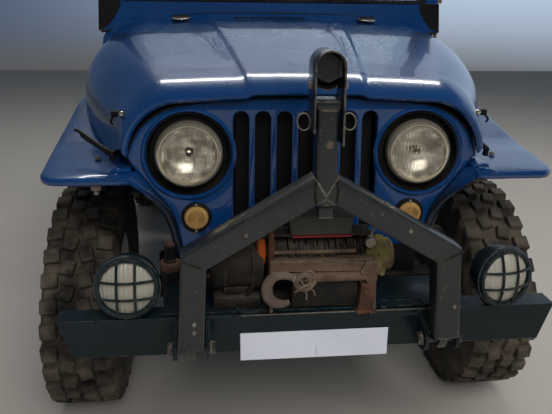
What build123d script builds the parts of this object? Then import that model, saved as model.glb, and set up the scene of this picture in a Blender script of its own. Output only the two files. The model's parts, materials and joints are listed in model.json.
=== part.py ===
from build123d import *
import math
import os

# Short open off-road vehicle with a winch and a folding tow bar, in millimetres.
# Stations along the vehicle are measured from the front axle, forward is -Y, and
# every piece is shifted at the end so that the origin lies on the ground, in the
# middle of the vehicle.

# Main layout
wheelbase = 2057
wheel_centre_x = 677
frame_rail_x = 371
cowl_front_y = 506
tub_rear_y = 2680
tub_half_width = 730
cowl_half_width = tub_half_width + 15
fender_half_width = tub_half_width + 18
sheet = 5                    # pressed panels, with their folded edges
running_gap = 0.3            # between fitted faces
panel_gap = 6                # round the hood and other moving panels
beyond = 1000                # past the faces of a piece that a cutter goes through

# Tyres and wheels
tyre_radius = 370
tyre_half_width = 112
tread_half_width = 102
tread_base_radius = 352
lugs_per_row = 24
lug_half_length = 29         # along the tread
lug_row_gap = 10
bead_radius = 190
bead_half_width = 85
rim_flange_radius = 204
rim_flange_width = 6
rim_wall = 6
hub_radius = 58
hub_inner = 45
spindle_radius = 22
drum_radius = 140
drum_width = 60

lug_pitch = 360 / lugs_per_row
lug_corner_radius = math.hypot(tyre_radius, lug_half_length)
lug_half_angle = math.degrees(math.atan(lug_half_length / tyre_radius))
# One row stands on a lug face and the other on the near corners of two lugs.
axle_height = lug_corner_radius * math.cos(math.radians(lug_pitch / 2 - lug_half_angle))

# Frame rails
rail_top = 570
rail_height = 100
rail_width = 50
rail_wall = 8
rail_rear_y = tub_rear_y - 40
crossmember_size = 60
gearbox_low = 500
engine_low = 530
# (station, low face, high face): under the grille, radiator, gearbox and tub
crossmembers = (
    (-415, 540, 600 - running_gap),
    (-345, 480, engine_low),
    (620, 472, gearbox_low - running_gap),
    (1150, 495, 545),
    (1700, 495, 545),
    (rail_rear_y - 30, 495, 545),
)

# Front bumper, a deep channel
bumper_face_y = -650
bumper_depth = 60
bumper_top = 600
bumper_height = 100
bumper_half_length = 650
bumper_end_taper = 40
bumper_wall = 6

# Tow bar, folded up in front of the bumper
bar_tube = 62
bar_centre_y = -725
bar_leg_x = 316
bar_leg_bottom = 574
bar_shoulder_z = 806
bar_apex_z = 995
bar_upright_half = 24
bar_stub_half = 18           # the short end below the apex
bar_stub_bottom = 891
bar_hinge_y = -700
bar_hinge_z = 545
bar_pin_radius = 10
bar_lug_gap = 5
bar_lug_thickness = 8
coupler_width = 72
coupler_bottom = 1070
coupler_top = 1290
coupler_depth = 90
coupler_wall = 6

# Winch and its cradle
winch_y = -560
drum_axis_z = 737
winch_drum_radius = 36
winch_drum_x = (-106, 128)
winch_flange_radius = 47
winch_motor_x = (-283, -133)
winch_motor_radius = 82
winch_gear_x = (137, 211)
winch_gear_radius = 50
cradle_plate = 6
cradle_rear_y = -470
fairlead_x = (-113, 158)
fairlead_z = (640, 738)
cable_z = 690
cable_radius = 5
hook_x = -95                 # of its eye and cable
hook_y = -695
hook_bend_x = -106
hook_bend_z = 678
hook_bend_radius = 28
hook_half_depth = 9.5
fairlead_depth = 38
roller_radius = 12
control_box_x = (-74, 97)
control_box_y = (-640, -590)
control_box_z = (806, 858)

# Grille
grille_face_y = -430
grille_depth = 30
grille_bottom = 600
slot_count = 7
slot_pitch = 61
slot_width = 43
slot_top = 1088
slot_height = 350
headlamp_x = 329
headlamp_z = 968
headlamp_bowl_radius = 118
headlamp_ring_radius = 90
headlamp_glass_radius = 79
headlamp_depth = 55
signal_x = 309
signal_z = 786
signal_radius = 36

# Hood
hood_nose_y = -455
hood_rear_y = 500
hood_thickness = 10
hood_hinge_y = 500
hood_hinge_z = 1318
hood_hinge_x = 392
hinge_half = 40
hinge_ear = 6
hinge_pin_radius = 4
# (station, height) of the lower edge that rises to the nose
hood_front_edge = ((-285, 946), (-475, 996))

# Fenders
fender_front_y = -485
fender_rear_y = cowl_front_y - running_gap
fender_inner_x = 485
fender_skirt = 18
# (station, height) of the top edge, from a little ahead of the front
fender_line = ((-505, 920), (-455, 925), (-300, 938), (-200, 945), (-100, 966), (30, 993),
               (147, 1020), (300, 1036), (430, 1040))
fender_taper_y = -200        # ahead of this it narrows
fender_front_half = 724
fender_bend = 62
fender_bottom = 560
fender_corner = 58
# (x, z) of the apron from the frame up to the fender's top
apron_outline = ((342, 640), (362, 718), (405, 810), (fender_inner_x + sheet / 2, 868),
                 (fender_inner_x + sheet / 2, 1040))

# Tub
tub_wall = 30
tub_bottom = 545
tub_floor_top = 600
tub_floor_thickness = 8
tub_top = 1045
door_front_y = 650
door_rear_y = 1270
door_sill_z = 800
door_corner = 60
arch_radius = 425
arch_wall = 8
wheel_house_x = 525
rear_panel_thickness = 20
cowl_depth = 185
cowl_wall = 15
tunnel_half = 120
tunnel_top = 680
tunnel_wall = 8
tunnel_rear_y = 1150

# Windshield
windshield_y = 573
windshield_hinge_z = 1344
windshield_thickness = 26
windshield_half_width = tub_half_width + 5
windshield_post = 62
windshield_height = 456      # above the hinge line
windshield_top = windshield_hinge_z + windshield_height
windshield_panel_top = windshield_hinge_z + 0.11 * windshield_height
windshield_foot_z = 1290
windshield_lean = 8
windshield_lug_x = 620
glass_thickness = 6

# Axles and steering
axle_tube_radius = 38
differential_x = -200
differential_radius = 105
kingpin_x = 575
kingpin_radius = 12
backing_plate_x = wheel_centre_x - hub_inner - 12
yoke_half_height = 90
yoke_thickness = 20
steering_arm = 140
tie_rod_radius = 12

# Springs
spring_half_length = 450
spring_sag = 122
spring_width = 44
leaf_thickness = 9
leaf_half_lengths = (450, 360, 270, 170)

# Exhaust
exhaust_x = 262
exhaust_z = 444
exhaust_radius = 22

# Steering wheel and seats
driver_x = 320
column_base = (driver_x, 560, 960)
column_angle = 33
column_length = 430
column_radius = 22
steering_hub_depth = 27
steering_wheel_radius = 200
seat_front_y = 1290
seat_width = 410
seat_cushion_z = (700, 850)
seat_back_top = 1310
seat_rear_y = 1700
seat_lean = 12
seat_back_depth = 100
seat_wall = 15               # of the box frames under the cushions
bench_back_depth = 80
bench_half_width = 430
bench_front_y = 2180
bench_rear_y = 2620
bench_z = (760, 880)
bench_back_top = 1180
roll_bar_y = 1965
roll_bar_half = 480
roll_bar_top = 1640
roll_bar_radius = 25
brace_foot_y = 2480

# Spare wheel, upright behind the rear panel
spare_x = -150
spare_z = 860
spare_gap = 25
spare_face_y = tub_rear_y + spare_gap
rear_reach = spare_face_y + 2 * tyre_half_width

front_reach = coupler_depth / 2 - bar_centre_y     # to the front of the tow bar's coupler
overall_length = front_reach + rear_reach
front_axle_y = front_reach - overall_length / 2
place = Pos(0, front_axle_y, 0)


def block(x, y, z):
    """Box between the low and high values of each pair."""
    size = (x[1] - x[0], y[1] - y[0], z[1] - z[0])
    middle = ((x[0] + x[1]) / 2, (y[0] + y[1]) / 2, (z[0] + z[1]) / 2)
    return Pos(*middle) * Box(*size)


def rod_x(radius, x, y, z):
    """Round bar along X between two x values."""
    length = x[1] - x[0]
    return Pos((x[0] + x[1]) / 2, y, z) * Rot(0, 90, 0) * Cylinder(radius, length)


def rod_y(radius, x, y, z):
    """Round bar along Y between two y values."""
    length = y[1] - y[0]
    return Pos(x, (y[0] + y[1]) / 2, z) * Rot(90, 0, 0) * Cylinder(radius, length)


def rod_between(radius, start, end):
    """Round bar from one point to another."""
    path = Line(start, end)
    return sweep(Plane(origin=start, z_dir=path % 0) * Circle(radius), path)


def turned(profile, x=0, y=0, z=0):
    """Solid turned about a line along Y, from (radius, depth) points."""
    outline = make_face(Polyline([(radius, depth, 0) for radius, depth in profile], close=True))
    return Pos(x, y, z) * revolve(outline, Axis.Y)


def side_plate(points, x):
    """Plate from a closed (y, z) outline, between two x values."""
    outline = Plane.YZ * make_face(Polyline(points, close=True))
    return Pos(x[0], 0, 0) * extrude(outline, x[1] - x[0])


def front_plate(points, y):
    """Plate from a closed (x, z) outline, between two y values."""
    outline = Plane.XZ * make_face(Polyline(points, close=True))
    return Pos(0, y[1], 0) * extrude(outline, y[1] - y[0])


def pair(piece):
    """A piece and its mirror image on the other side of the vehicle."""
    return piece + mirror(piece, Plane.YZ)


def above_fender(clearance):
    """Line of the fender's top in side view, raised by a clearance."""
    return Spline([(y, z + clearance) for y, z in fender_line])


# Tyres and wheels, made at the origin with their axle along X

def make_tyre():
    """Carcass with flat facets, one for each lug, and two staggered rows of lugs."""
    # (radius to a corner, half width) from the bead out to the tread
    corner = 1 / math.cos(math.radians(lug_pitch / 2))
    bore = (bead_radius + running_gap) * corner
    rings = (
        (bore, bead_half_width),
        (bead_radius + 18, bead_half_width),
        (272, tyre_half_width),
        (325, tyre_half_width - 4),
        (tread_base_radius, tread_half_width),
    )
    stations = [(radius, -half) for radius, half in rings]
    stations += [(radius, half) for radius, half in reversed(rings)]
    angles = [math.radians(lug_pitch * (i + 0.5) + 90) for i in range(lugs_per_row)]

    def corner_point(station, angle):
        radius, x = station
        return Vector(x, radius * math.cos(angle), radius * math.sin(angle))

    faces = []
    for i, angle in enumerate(angles):
        next_angle = angles[(i + 1) % lugs_per_row]
        for j, station in enumerate(stations):
            following = stations[(j + 1) % len(stations)]
            points = [corner_point(station, angle), corner_point(station, next_angle),
                      corner_point(following, next_angle), corner_point(following, angle)]
            faces.append(Face(Wire.make_polygon(points, close=True)))
    tyre = Solid(Shell(faces))
    lug_depth = tyre_radius - tread_base_radius + 10
    lug_width = tread_half_width - lug_row_gap / 2
    lugs = []
    for side, start in ((-1, 0), (1, lug_pitch / 2)):
        lug = Pos(side * (lug_row_gap + lug_width) / 2, 0, -tyre_radius + lug_depth / 2) * Box(
            lug_width, 2 * lug_half_length, lug_depth)
        lugs += [Rot(start + lug_pitch * i, 0, 0) * lug for i in range(lugs_per_row)]
    return Compound(tyre.fuse(*lugs).solids())


def make_rim():
    """Pressed steel wheel, outer side towards +X, with its hub and brake drum."""
    edge = bead_half_width + running_gap
    lip = edge + rim_flange_width
    inner = bead_radius - rim_wall
    barrel = [(bead_radius, -edge), (rim_flange_radius, -edge), (rim_flange_radius, -lip),
              (inner, -lip), (inner, lip), (rim_flange_radius, lip), (rim_flange_radius, edge),
              (bead_radius, edge)]
    # dished disc from the barrel to the hub
    disc = [(inner + 1, 30), (150, 42), (95, 30), (50, 30),
            (50, 22), (97, 22), (148, 34), (inner + 1, 22)]
    hub = [(spindle_radius + running_gap, -hub_inner), (hub_radius, -hub_inner), (hub_radius, 60),
           (48, 88), (0, 88), (0, 66), (spindle_radius + running_gap, 66)]
    drum = [(hub_radius - 2, -22), (drum_radius, -22), (drum_radius, 18), (hub_radius - 2, 18)]
    to_x = Rot(0, 0, -90)
    rim = to_x * turned(barrel) + to_x * turned(disc) + to_x * turned(hub) + to_x * turned(drum)
    vent = Pos(60, 125, 0) * Rot(0, 90, 0) * Cylinder(17, 80)
    for i in range(5):
        rim -= Rot(72 * i + 36, 0, 0) * vent
    return rim


tyre_shape = make_tyre()
rim_shape = make_rim()


def wheel_place(side, y):
    """Where a wheel stands: side is 1 for +X and -1 for -X."""
    turn = Rot(0, 0, 0) if side > 0 else Rot(0, 0, 180)
    return Pos(side * wheel_centre_x, y, axle_height) * turn


# Frame

def make_frame():
    low = rail_top - rail_height
    outer = frame_rail_x + rail_width / 2
    inner = frame_rail_x - rail_width / 2
    rail_front_y = bumper_face_y + bumper_depth
    rail = block((inner, outer), (rail_front_y, rail_rear_y), (low, rail_top))
    rail -= block((inner - 1, outer - rail_wall), (rail_front_y - 1, rail_rear_y + 1),
                  (low + rail_wall, rail_top - rail_wall))
    tongue = block((outer - rail_wall, outer), (bumper_face_y + bumper_wall, rail_front_y),
                   (bumper_top - bumper_height + 8, rail_top))
    frame = pair(rail + tongue)
    # (station, low face, high face) of each crossmember
    for y, z0, z1 in crossmembers:
        half = crossmember_size / 2
        frame += block((-outer + rail_wall, outer - rail_wall), (y - half, y + half), (z0, z1))
    # body mounts under the floor
    for y in (700, 1500, 2500):
        mount = Pos(frame_rail_x, y, (rail_top + tub_floor_top - tub_floor_thickness) / 2) * Cylinder(
            25, tub_floor_top - tub_floor_thickness - rail_top)
        frame += pair(mount)
    return frame


def channel(face_y, depth, top, height, half_length, taper, wall, forward):
    """Channel with its web to the outside; forward is -1 at the front and 1 at the rear."""
    low = top - height
    outline = [(-half_length, top), (half_length, top),
               (half_length - taper, low), (-half_length + taper, low)]
    back = face_y - forward * depth
    web = face_y - forward * wall
    outer = front_plate(outline, sorted((face_y, back)))
    hollow = block((-half_length - 1, half_length + 1), sorted((web, back - forward)),
                   (low + wall, top - wall))
    return outer - hollow


def make_front_bumper():
    bumper = channel(bumper_face_y, bumper_depth, bumper_top, bumper_height, bumper_half_length,
                     bumper_end_taper, bumper_wall, -1)
    # lug plates on both sides of each leg of the tow bar
    inside = bar_tube / 2 + bar_lug_gap
    for x in (bar_leg_x - inside - bar_lug_thickness, bar_leg_x + inside):
        lug = side_plate([(bumper_face_y, 505), (bumper_face_y, 595), (bar_hinge_y - 10, 575),
                          (bar_hinge_y - 24, 560), (bar_hinge_y - 24, 530), (bar_hinge_y, 512)],
                         (x, x + bar_lug_thickness))
        lug -= rod_x(bar_pin_radius + running_gap, (x - 1, x + bar_lug_thickness + 1),
                     bar_hinge_y, bar_hinge_z)
        bumper += pair(lug)
    return bumper


def make_rear_bumper():
    """Short bumper on each side of the frame, as such vehicles carry at the rear."""
    face_y = rail_rear_y + bumper_depth
    return channel(face_y, bumper_depth, rail_top, bumper_height, bumper_half_length,
                   bumper_end_taper, bumper_wall, 1)


def make_tow_bar():
    """Frame of square tube with its tongues, hinge pins and coupler."""
    half = bar_tube / 2
    outer = bar_leg_x + half
    inner = bar_leg_x - half
    right = [(inner, bar_leg_bottom), (outer, bar_leg_bottom), (outer, bar_shoulder_z),
             (bar_upright_half, bar_apex_z)]
    right_inner = [(bar_stub_half, bar_stub_bottom), (bar_stub_half, 930), (inner, bar_shoulder_z - 30)]
    left = [(-x, z) for x, z in reversed(right)]
    left_inner = [(-x, z) for x, z in reversed(right_inner)]
    outline = right + left + left_inner + right_inner
    span_y = (bar_centre_y - half, bar_centre_y + half)
    bar = front_plate(outline, span_y)
    bar += block((-bar_upright_half, bar_upright_half), (bar_centre_y - 28, bar_centre_y + 28),
                 (bar_apex_z - 5, coupler_bottom + 50))
    tongue = side_plate([(bar_hinge_y - 40, bar_leg_bottom + 2), (bar_hinge_y - 22, bar_hinge_z - 15),
                         (bar_hinge_y, bar_hinge_z - 24), (bar_hinge_y + 20, bar_hinge_z - 10),
                         (bar_hinge_y + 6, bar_leg_bottom + 2)], (bar_leg_x - 10, bar_leg_x + 10))
    reach = half + bar_lug_gap + bar_lug_thickness + 12
    pin = rod_x(bar_pin_radius, (bar_leg_x - reach, bar_leg_x + reach), bar_hinge_y, bar_hinge_z)
    head = rod_x(15, (bar_leg_x + reach - 10, bar_leg_x + reach), bar_hinge_y, bar_hinge_z)
    nut = rod_x(15, (bar_leg_x - reach, bar_leg_x - reach + 10), bar_hinge_y, bar_hinge_z)
    bar += pair(tongue + pin + head + nut)
    return bar + make_coupler()


def make_coupler():
    """Upright cap over the tube, open towards the front, with a round top."""
    radius = coupler_width / 2
    round_z = coupler_top - radius
    low_y = bar_centre_y - coupler_depth / 2
    high_y = bar_centre_y + coupler_depth / 2
    shell = block((-radius, radius), (low_y, high_y), (coupler_bottom, round_z))
    shell += rod_y(radius, 0, (low_y, high_y), round_z)
    inside = radius - coupler_wall
    hollow = block((-inside, inside), (low_y - 1, high_y - coupler_wall), (coupler_bottom - 1, round_z))
    hollow += rod_y(inside, 0, (low_y - 1, high_y - coupler_wall), round_z)
    floor = block((-inside - 1, inside + 1), (bar_centre_y - bar_upright_half, high_y - 1),
                  (coupler_bottom, coupler_bottom + coupler_wall))
    return shell - hollow + floor


# Winch

def make_winch_cradle():
    half = frame_rail_x + 20
    rear = (bumper_face_y + bumper_depth, cradle_rear_y)
    cradle = block((-half, half), (rear[0] - 50, rear[1]), (bumper_top, bumper_top + cradle_plate))
    foot = block((frame_rail_x - 20, frame_rail_x + 20), rear, (rail_top, bumper_top))
    cradle += pair(foot)
    # end plates that carry the winch
    for x in (winch_drum_x[0] - 20, winch_drum_x[1] + 2):
        cradle += block((x, x + cradle_plate), (winch_y - 60, winch_y + 60),
                        (bumper_top, drum_axis_z - winch_drum_radius - 25))
    # fairlead: top and bottom plates, two upright ends
    low_y = bumper_face_y
    high_y = low_y + fairlead_depth
    for z in (fairlead_z[0], fairlead_z[1] - 8):
        cradle += block(fairlead_x, (low_y, high_y), (z, z + 8))
    for x in (fairlead_x[0], fairlead_x[1] - 8):
        cradle += block((x, x + 8), (low_y, high_y), (bumper_top, fairlead_z[1]))
    middle_y = (low_y + high_y) / 2
    for z in (cable_z - roller_radius - 7, cable_z + roller_radius + 9):
        cradle += rod_x(roller_radius, (fairlead_x[0] + 4, fairlead_x[1] - 4), middle_y, z)
    return cradle


def make_winch():
    winch = rod_x(winch_drum_radius, (winch_motor_x[1] - 2, winch_gear_x[0] + 2), winch_y, drum_axis_z)
    for x in (winch_drum_x[0], winch_drum_x[1] - 6):
        winch += rod_x(winch_flange_radius, (x, x + 6), winch_y, drum_axis_z)
    motor_z = bumper_top + cradle_plate + winch_motor_radius
    winch += rod_x(winch_motor_radius, winch_motor_x, winch_y, motor_z)
    winch += rod_x(winch_gear_radius, winch_gear_x, winch_y, drum_axis_z - 30)
    # bridge over the drum from motor to gears, which carries the control box
    bridge_x = (winch_motor_x[1] - 10, winch_gear_x[0] + 10)
    bridge_z = control_box_z[0]
    winch += block(bridge_x, (control_box_y[0] + 8, winch_y - 5), (bridge_z - 6, bridge_z))
    for x in (bridge_x[0], bridge_x[1] - 6):
        winch += block((x, x + 6), (winch_y - 25, winch_y - 5), (drum_axis_z + 5, bridge_z - 3))
    winch += block(control_box_x, control_box_y, (bridge_z - 3, control_box_z[1]))
    return winch


# Grille, lamps and plate

# half width of the grille at each height, from the top down
grille_outline = ((0, 1126), (160, 1124), (290, 1116), (388, 1092), (458, 1045), (492, 980),
                  (487, 941), (409, 822), (362, 745), (345, 680), (340, grille_bottom))


def make_grille():
    right = list(grille_outline)
    left = [(-x, z) for x, z in reversed(right) if x > 0]
    grille = front_plate(right + left, (grille_face_y, grille_face_y + grille_depth))
    for i in range(slot_count):
        x = (i - (slot_count - 1) / 2) * slot_pitch
        slot = Plane.XZ * Pos(x, slot_top - slot_height / 2) * SlotOverall(
            slot_height, slot_width, rotation=90)
        grille -= Pos(0, grille_face_y + grille_depth + 1, 0) * extrude(slot, grille_depth + 2)
    for side in (-1, 1):
        grille -= rod_y(headlamp_bowl_radius, side * headlamp_x,
                        (grille_face_y - 1, grille_face_y + grille_depth + 1), headlamp_z)
    return grille


def make_headlamp_rings():
    """Deep bowl set into the grille, with the bright ring that holds the glass."""
    outer = headlamp_bowl_radius - running_gap
    front = grille_face_y
    back = front + headlamp_depth
    profile = [(outer, front), (outer, back), (headlamp_glass_radius - 8, back),
               (headlamp_glass_radius - 8, back - 10), (headlamp_glass_radius + running_gap, back - 10),
               (headlamp_glass_radius + running_gap, front - 10), (headlamp_ring_radius, front - 6),
               (headlamp_ring_radius, front + 25), (outer - 5, front + 2)]
    return pair(turned(profile, headlamp_x, 0, headlamp_z))


def make_lamp_glass():
    """Domed glass in each ring, from (share of the radius, bulge) points."""
    rim_y = grille_face_y - 8
    dome = [(0, 20), (0.35, 18), (0.65, 12.5), (0.88, 5.5), (1, 0), (1, -2), (0, -2)]
    profile = [(share * headlamp_glass_radius, rim_y - bulge) for share, bulge in dome]
    return pair(turned(profile, headlamp_x, 0, headlamp_z))


def make_signal_lamps():
    front = grille_face_y
    profile = [(0, front), (signal_radius, front), (signal_radius, front - 12),
               (signal_radius - 8, front - 20), (0, front - 22)]
    lamps = pair(turned(profile, signal_x, 0, signal_z))
    tail = [(0, 0), (42, 0), (42, 20), (34, 30), (0, 32)]
    lamps += pair(turned(tail, tub_half_width - 70, tub_rear_y, 900))
    return lamps


def make_fog_lamps():
    """Round lamps on the bumper's top, the right one turned outwards."""
    lamps = []
    # (x, height of the centre, turn outwards in degrees)
    for x, z, turn in ((-474, 690, 0), (495, 684, 12)):
        profile = [(0, -38), (61, -34), (64, -44), (80, -40),
                   (80, -18), (70, 20), (40, 48), (0, 52)]
        lamp = Pos(x, -625, z) * Rot(0, 0, turn) * turned(profile)
        stem = block((x - 15, x + 15), (-640, -610), (bumper_top, z - 60))
        stem += block((x - 30, x + 30), (-645, -600), (bumper_top, bumper_top + 4))
        lamps += (lamp + stem).solids()
    return Compound(lamps)


def make_number_plate():
    return block((-193, 193), (bumper_face_y - 4, bumper_face_y), (476, 551))


def make_winch_hook():
    """Open forged hook in front of the fairlead, with its eye on the cable from the drum."""
    eye_z = hook_bend_z + hook_bend_radius + 18
    inner, outer = hook_bend_radius - hook_half_depth, hook_bend_radius + hook_half_depth
    bend = Pos(hook_bend_x, hook_bend_z) * (Circle(outer) - Circle(inner))
    # the mouth, between the tip and the shank
    bend -= Pos(hook_bend_x - inner / 2, hook_bend_z + outer / 2) * Rectangle(inner + 2, outer)
    shank_low = hook_bend_z - 2
    shank = make_face(Polyline([(hook_bend_x + inner - 4, shank_low), (hook_bend_x + outer, shank_low),
                                (hook_x + 16, eye_z), (hook_x - 10, eye_z - 8)], close=True))
    outline = bend + shank + Pos(hook_x, eye_z) * Circle(20) - Pos(hook_x, eye_z + 3) * Circle(8)
    hook = Pos(0, hook_y, 0) * extrude(Plane.XZ * outline, 2 * hook_half_depth)
    # thimble behind the eye, down to the cable
    hook += block((hook_x - 9, hook_x + 9), (hook_y - 4, hook_y + 24), (cable_z - 9, eye_z - 7))
    drum_low = drum_axis_z - winch_drum_radius - cable_radius
    cable = rod_between(cable_radius, (hook_x, hook_y, cable_z),
                        (hook_x, winch_y - 6, drum_low - running_gap))
    return hook + cable


# Body panels

def arch_section(half_width, top, crown, radius, bottom):
    """Closed section of the hood and cowl: flat sides, round shoulders and a crowned top."""
    shoulder = half_width - radius
    side_top = top - crown - radius
    middle = math.sqrt(0.5) * radius
    edges = [
        Line((-half_width, bottom), (half_width, bottom)),
        Line((half_width, bottom), (half_width, side_top)),
        ThreePointArc((half_width, side_top), (shoulder + middle, side_top + middle),
                      (shoulder, top - crown)),
        ThreePointArc((shoulder, top - crown), (0, top), (-shoulder, top - crown)),
        ThreePointArc((-shoulder, top - crown), (-shoulder - middle, side_top + middle),
                      (-half_width, side_top)),
        Line((-half_width, side_top), (-half_width, bottom)),
    ]
    return make_face(edges)


# (station, half width, top, crown, shoulder radius)
hood_sections = (
    (hood_nose_y, 508, 1148, 10, 150),
    (-330, 548, 1187, 10, 160),
    (-60, 660, 1232, 10, 185),
    (230, cowl_half_width - 12, 1276, 9, 215),
    (hood_rear_y, cowl_half_width, 1311, 8, 240),
)


def hood_form(inset):
    """Lofted form of the hood, drawn in by an inset for the inside."""
    faces = []
    for y, half_width, top, crown, radius in hood_sections:
        section = arch_section(half_width - inset, top - inset, crown, radius - inset, 850)
        faces.append(Pos(0, y, 0) * (Plane.XZ * section.face()))
    return loft(faces)


def make_hood():
    hood = hood_form(0) - hood_form(hood_thickness)
    # everything below the fender's line and the rising front edge is cut away
    line = above_fender(panel_gap)
    start, end = line @ 0, line @ 1
    low_z = fender_line[0][1] - 200
    below = make_face([line, Polyline([end, (beyond, end.Y), (beyond, low_z), (-beyond, low_z),
                                       (-beyond, start.Y), start])])
    (rear_y, rear_z), (front_y, front_z) = hood_front_edge
    below += make_face(Polyline([(rear_y, rear_z), (rear_y, low_z), (front_y, low_z), (front_y, front_z)],
                                close=True))
    hood -= Pos(-beyond, 0, 0) * extrude(Plane.YZ * below, 2 * beyond)
    # hinge ears at the rear edge, with their pins
    ear_y = (hood_hinge_y - 24, hood_hinge_y + 4)
    ear_z = (hood_hinge_z - 20, hood_hinge_z + 6)
    for x in (-hood_hinge_x, hood_hinge_x):
        for ear_x in (x - hinge_half, x + hinge_half - hinge_ear):
            hood += block((ear_x, ear_x + hinge_ear), ear_y, ear_z)
        hood += rod_x(hinge_pin_radius, (x - hinge_half, x + hinge_half), hood_hinge_y, hood_hinge_z)
    return hood


def fender_form(inset, depth):
    """Upper fender seen from the side, drawn in by an inset and as deep as asked.

    The outline runs a little past the front, and the rounded plan cuts it there.
    """
    top = above_fender(-inset)
    start, end = top @ 0, top @ 1
    rear_y = fender_rear_y - inset
    bend = ThreePointArc((end.X, end.Y), (end.X + 0.7 * (rear_y - end.X), end.Y - 0.3 * fender_bend),
                         (rear_y, end.Y - fender_bend))
    if depth:
        under = above_fender(-depth)
        low_start, low_end = under @ 0, under @ 1
        inner_y = rear_y - depth
        rest = Polyline([(rear_y, end.Y - fender_bend), (rear_y, fender_bottom), (inner_y, fender_bottom),
                         (inner_y, end.Y - fender_bend - 20), (low_end.X, low_end.Y)])
        edges = [top, bend, rest, under, Line(low_start, start)]
    else:
        rest = Polyline([(rear_y, end.Y - fender_bend), (rear_y, 400), (start.X, 400), (start.X, start.Y)])
        edges = [top, bend, rest]
    side = Plane.YZ * make_face(edges)
    low_x = fender_inner_x - (0 if depth else 10)
    form = Pos(low_x, 0, 0) * extrude(side, fender_half_width - inset - low_x + 20)
    half, tip = fender_half_width - inset, fender_front_half - inset
    front_y = fender_front_y + inset
    plan = make_face(Polyline([(low_x - 10, front_y), (tip, front_y), (half, fender_taper_y), (half, 600),
                               (low_x - 10, 600)], close=True))
    corner = plan.vertices().sort_by_distance((tip, front_y))[0]
    return form & extrude(fillet(corner, fender_corner - inset), 2000)


def make_fender():
    """Left fender: curved top and rear panel with folded skirt, and the apron beside the engine."""
    shell = fender_form(0, fender_skirt) - fender_form(sheet, 0)
    path = Polyline([(x, z) for x, z in apron_outline])
    y0 = grille_face_y + grille_depth + running_gap
    apron = Pos(0, fender_rear_y, 0) * extrude(Plane.XZ * trace(path, line_width=sheet), fender_rear_y - y0)
    under = above_fender(-sheet / 2)
    start, end = under @ 0, under @ 1
    low_z = fender_bottom - 60
    below = Plane.YZ * make_face([under, Polyline([end, (fender_rear_y, end.Y), (fender_rear_y, low_z),
                                                   (y0, low_z), (y0, start.Y), start])])
    return shell + (apron & extrude(below, beyond))


def make_cowl():
    """Arched body between hood and seats, with firewall and dashboard."""
    y0 = cowl_front_y
    y1 = cowl_front_y + cowl_depth
    station, half_width, top, crown, radius = hood_sections[-1]
    section = arch_section(half_width, top, crown, radius, tub_bottom)
    inner = arch_section(half_width - cowl_wall, top - cowl_wall, crown, radius - cowl_wall,
                         tub_bottom - 10)
    shell = Pos(0, y1, 0) * extrude(Plane.XZ * section, y1 - y0)
    shell -= Pos(0, y1 + 1, 0) * extrude(Plane.XZ * inner, y1 - y0 - sheet + 1)
    dash = Pos(0, y1, 0) * extrude(Plane.XZ * inner, 20) & block((-800, 800), (y1 - 20, y1), (1090, 1400))
    foot = block((-tub_half_width + tub_wall, tub_half_width - tub_wall), (y0 - 1, y1 + 1),
                 (tub_bottom - 20, tub_floor_top - tub_floor_thickness))
    tunnel = block((-tunnel_half - running_gap, tunnel_half + running_gap), (y0 - 1, y0 + sheet + 1),
                   (tub_bottom - 20, tunnel_top + running_gap))
    cowl = shell + dash - foot - tunnel
    # tongues of the hood's hinges and lugs of the windshield's hinges
    half = hinge_half - hinge_ear - panel_gap
    for x in (-hood_hinge_x, hood_hinge_x):
        tongue = block((x - half, x + half), (hood_hinge_y - 7, y0 + 24), (hood_hinge_z - 7, hood_hinge_z + 7))
        tongue += block((x - half, x + half), (y0 + 1, y0 + 24), (hood_hinge_z - 30, hood_hinge_z + 7))
        cowl += tongue - rod_x(hinge_pin_radius + running_gap, (x - half - 2, x + half + 2),
                               hood_hinge_y, hood_hinge_z)
    for side in (-1, 1):
        x = side * windshield_lug_x
        lug = block((x - 24, x + 24), (windshield_y - 9, windshield_y + 9), (1240, windshield_hinge_z))
        lug += rod_x(9, (x - 24, x + 24), windshield_y, windshield_hinge_z)
        cowl += lug - rod_x(5 + running_gap, (x - 25, x + 25), windshield_y, windshield_hinge_z)
    return cowl


def make_body_side():
    """Left side of the tub with its doorway, rear arch and wheel house."""
    x = (tub_half_width - tub_wall, tub_half_width)
    y0 = cowl_front_y + cowl_depth + running_gap
    y1 = tub_rear_y - rear_panel_thickness
    side = block(x, (y0, y1), (tub_bottom, tub_top))
    door = Plane.YZ * Pos((door_front_y + door_rear_y) / 2, door_sill_z + 250) * RectangleRounded(
        door_rear_y - door_front_y, 500, door_corner)
    side -= Pos(x[0] - 1, 0, 0) * extrude(door, tub_wall + 2)
    reach = arch_radius + arch_wall
    house = rod_x(reach, (wheel_house_x, x[1]), wheelbase, axle_height)
    house &= block((wheel_house_x, x[1]), (wheelbase - reach, wheelbase + reach),
                   (tub_floor_top - tub_floor_thickness, axle_height + reach))
    side += house
    side -= rod_x(arch_radius, (wheel_house_x + arch_wall, x[1] + 1), wheelbase, axle_height)
    return side


def make_floor():
    z = (tub_floor_top - tub_floor_thickness, tub_floor_top)
    inner = tub_half_width - tub_wall - running_gap
    y0 = cowl_front_y + sheet + running_gap
    floor = block((-inner, inner), (y0, tub_rear_y - rear_panel_thickness), z)
    reach = arch_radius + arch_wall + 2
    gap = block((wheel_house_x - 1, inner + 1), (wheelbase - reach, wheelbase + reach),
                (z[0] - 1, z[1] + 1))
    floor -= pair(gap)
    inside = tunnel_half - tunnel_wall
    tunnel = block((-tunnel_half, tunnel_half), (y0 - sheet, tunnel_rear_y), (z[0], tunnel_top))
    hollow = block((-inside, inside), (y0 - sheet - 1, tunnel_rear_y - tunnel_wall),
                   (z[0] - 1, tunnel_top - tunnel_wall))
    return floor + tunnel - hollow


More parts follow.
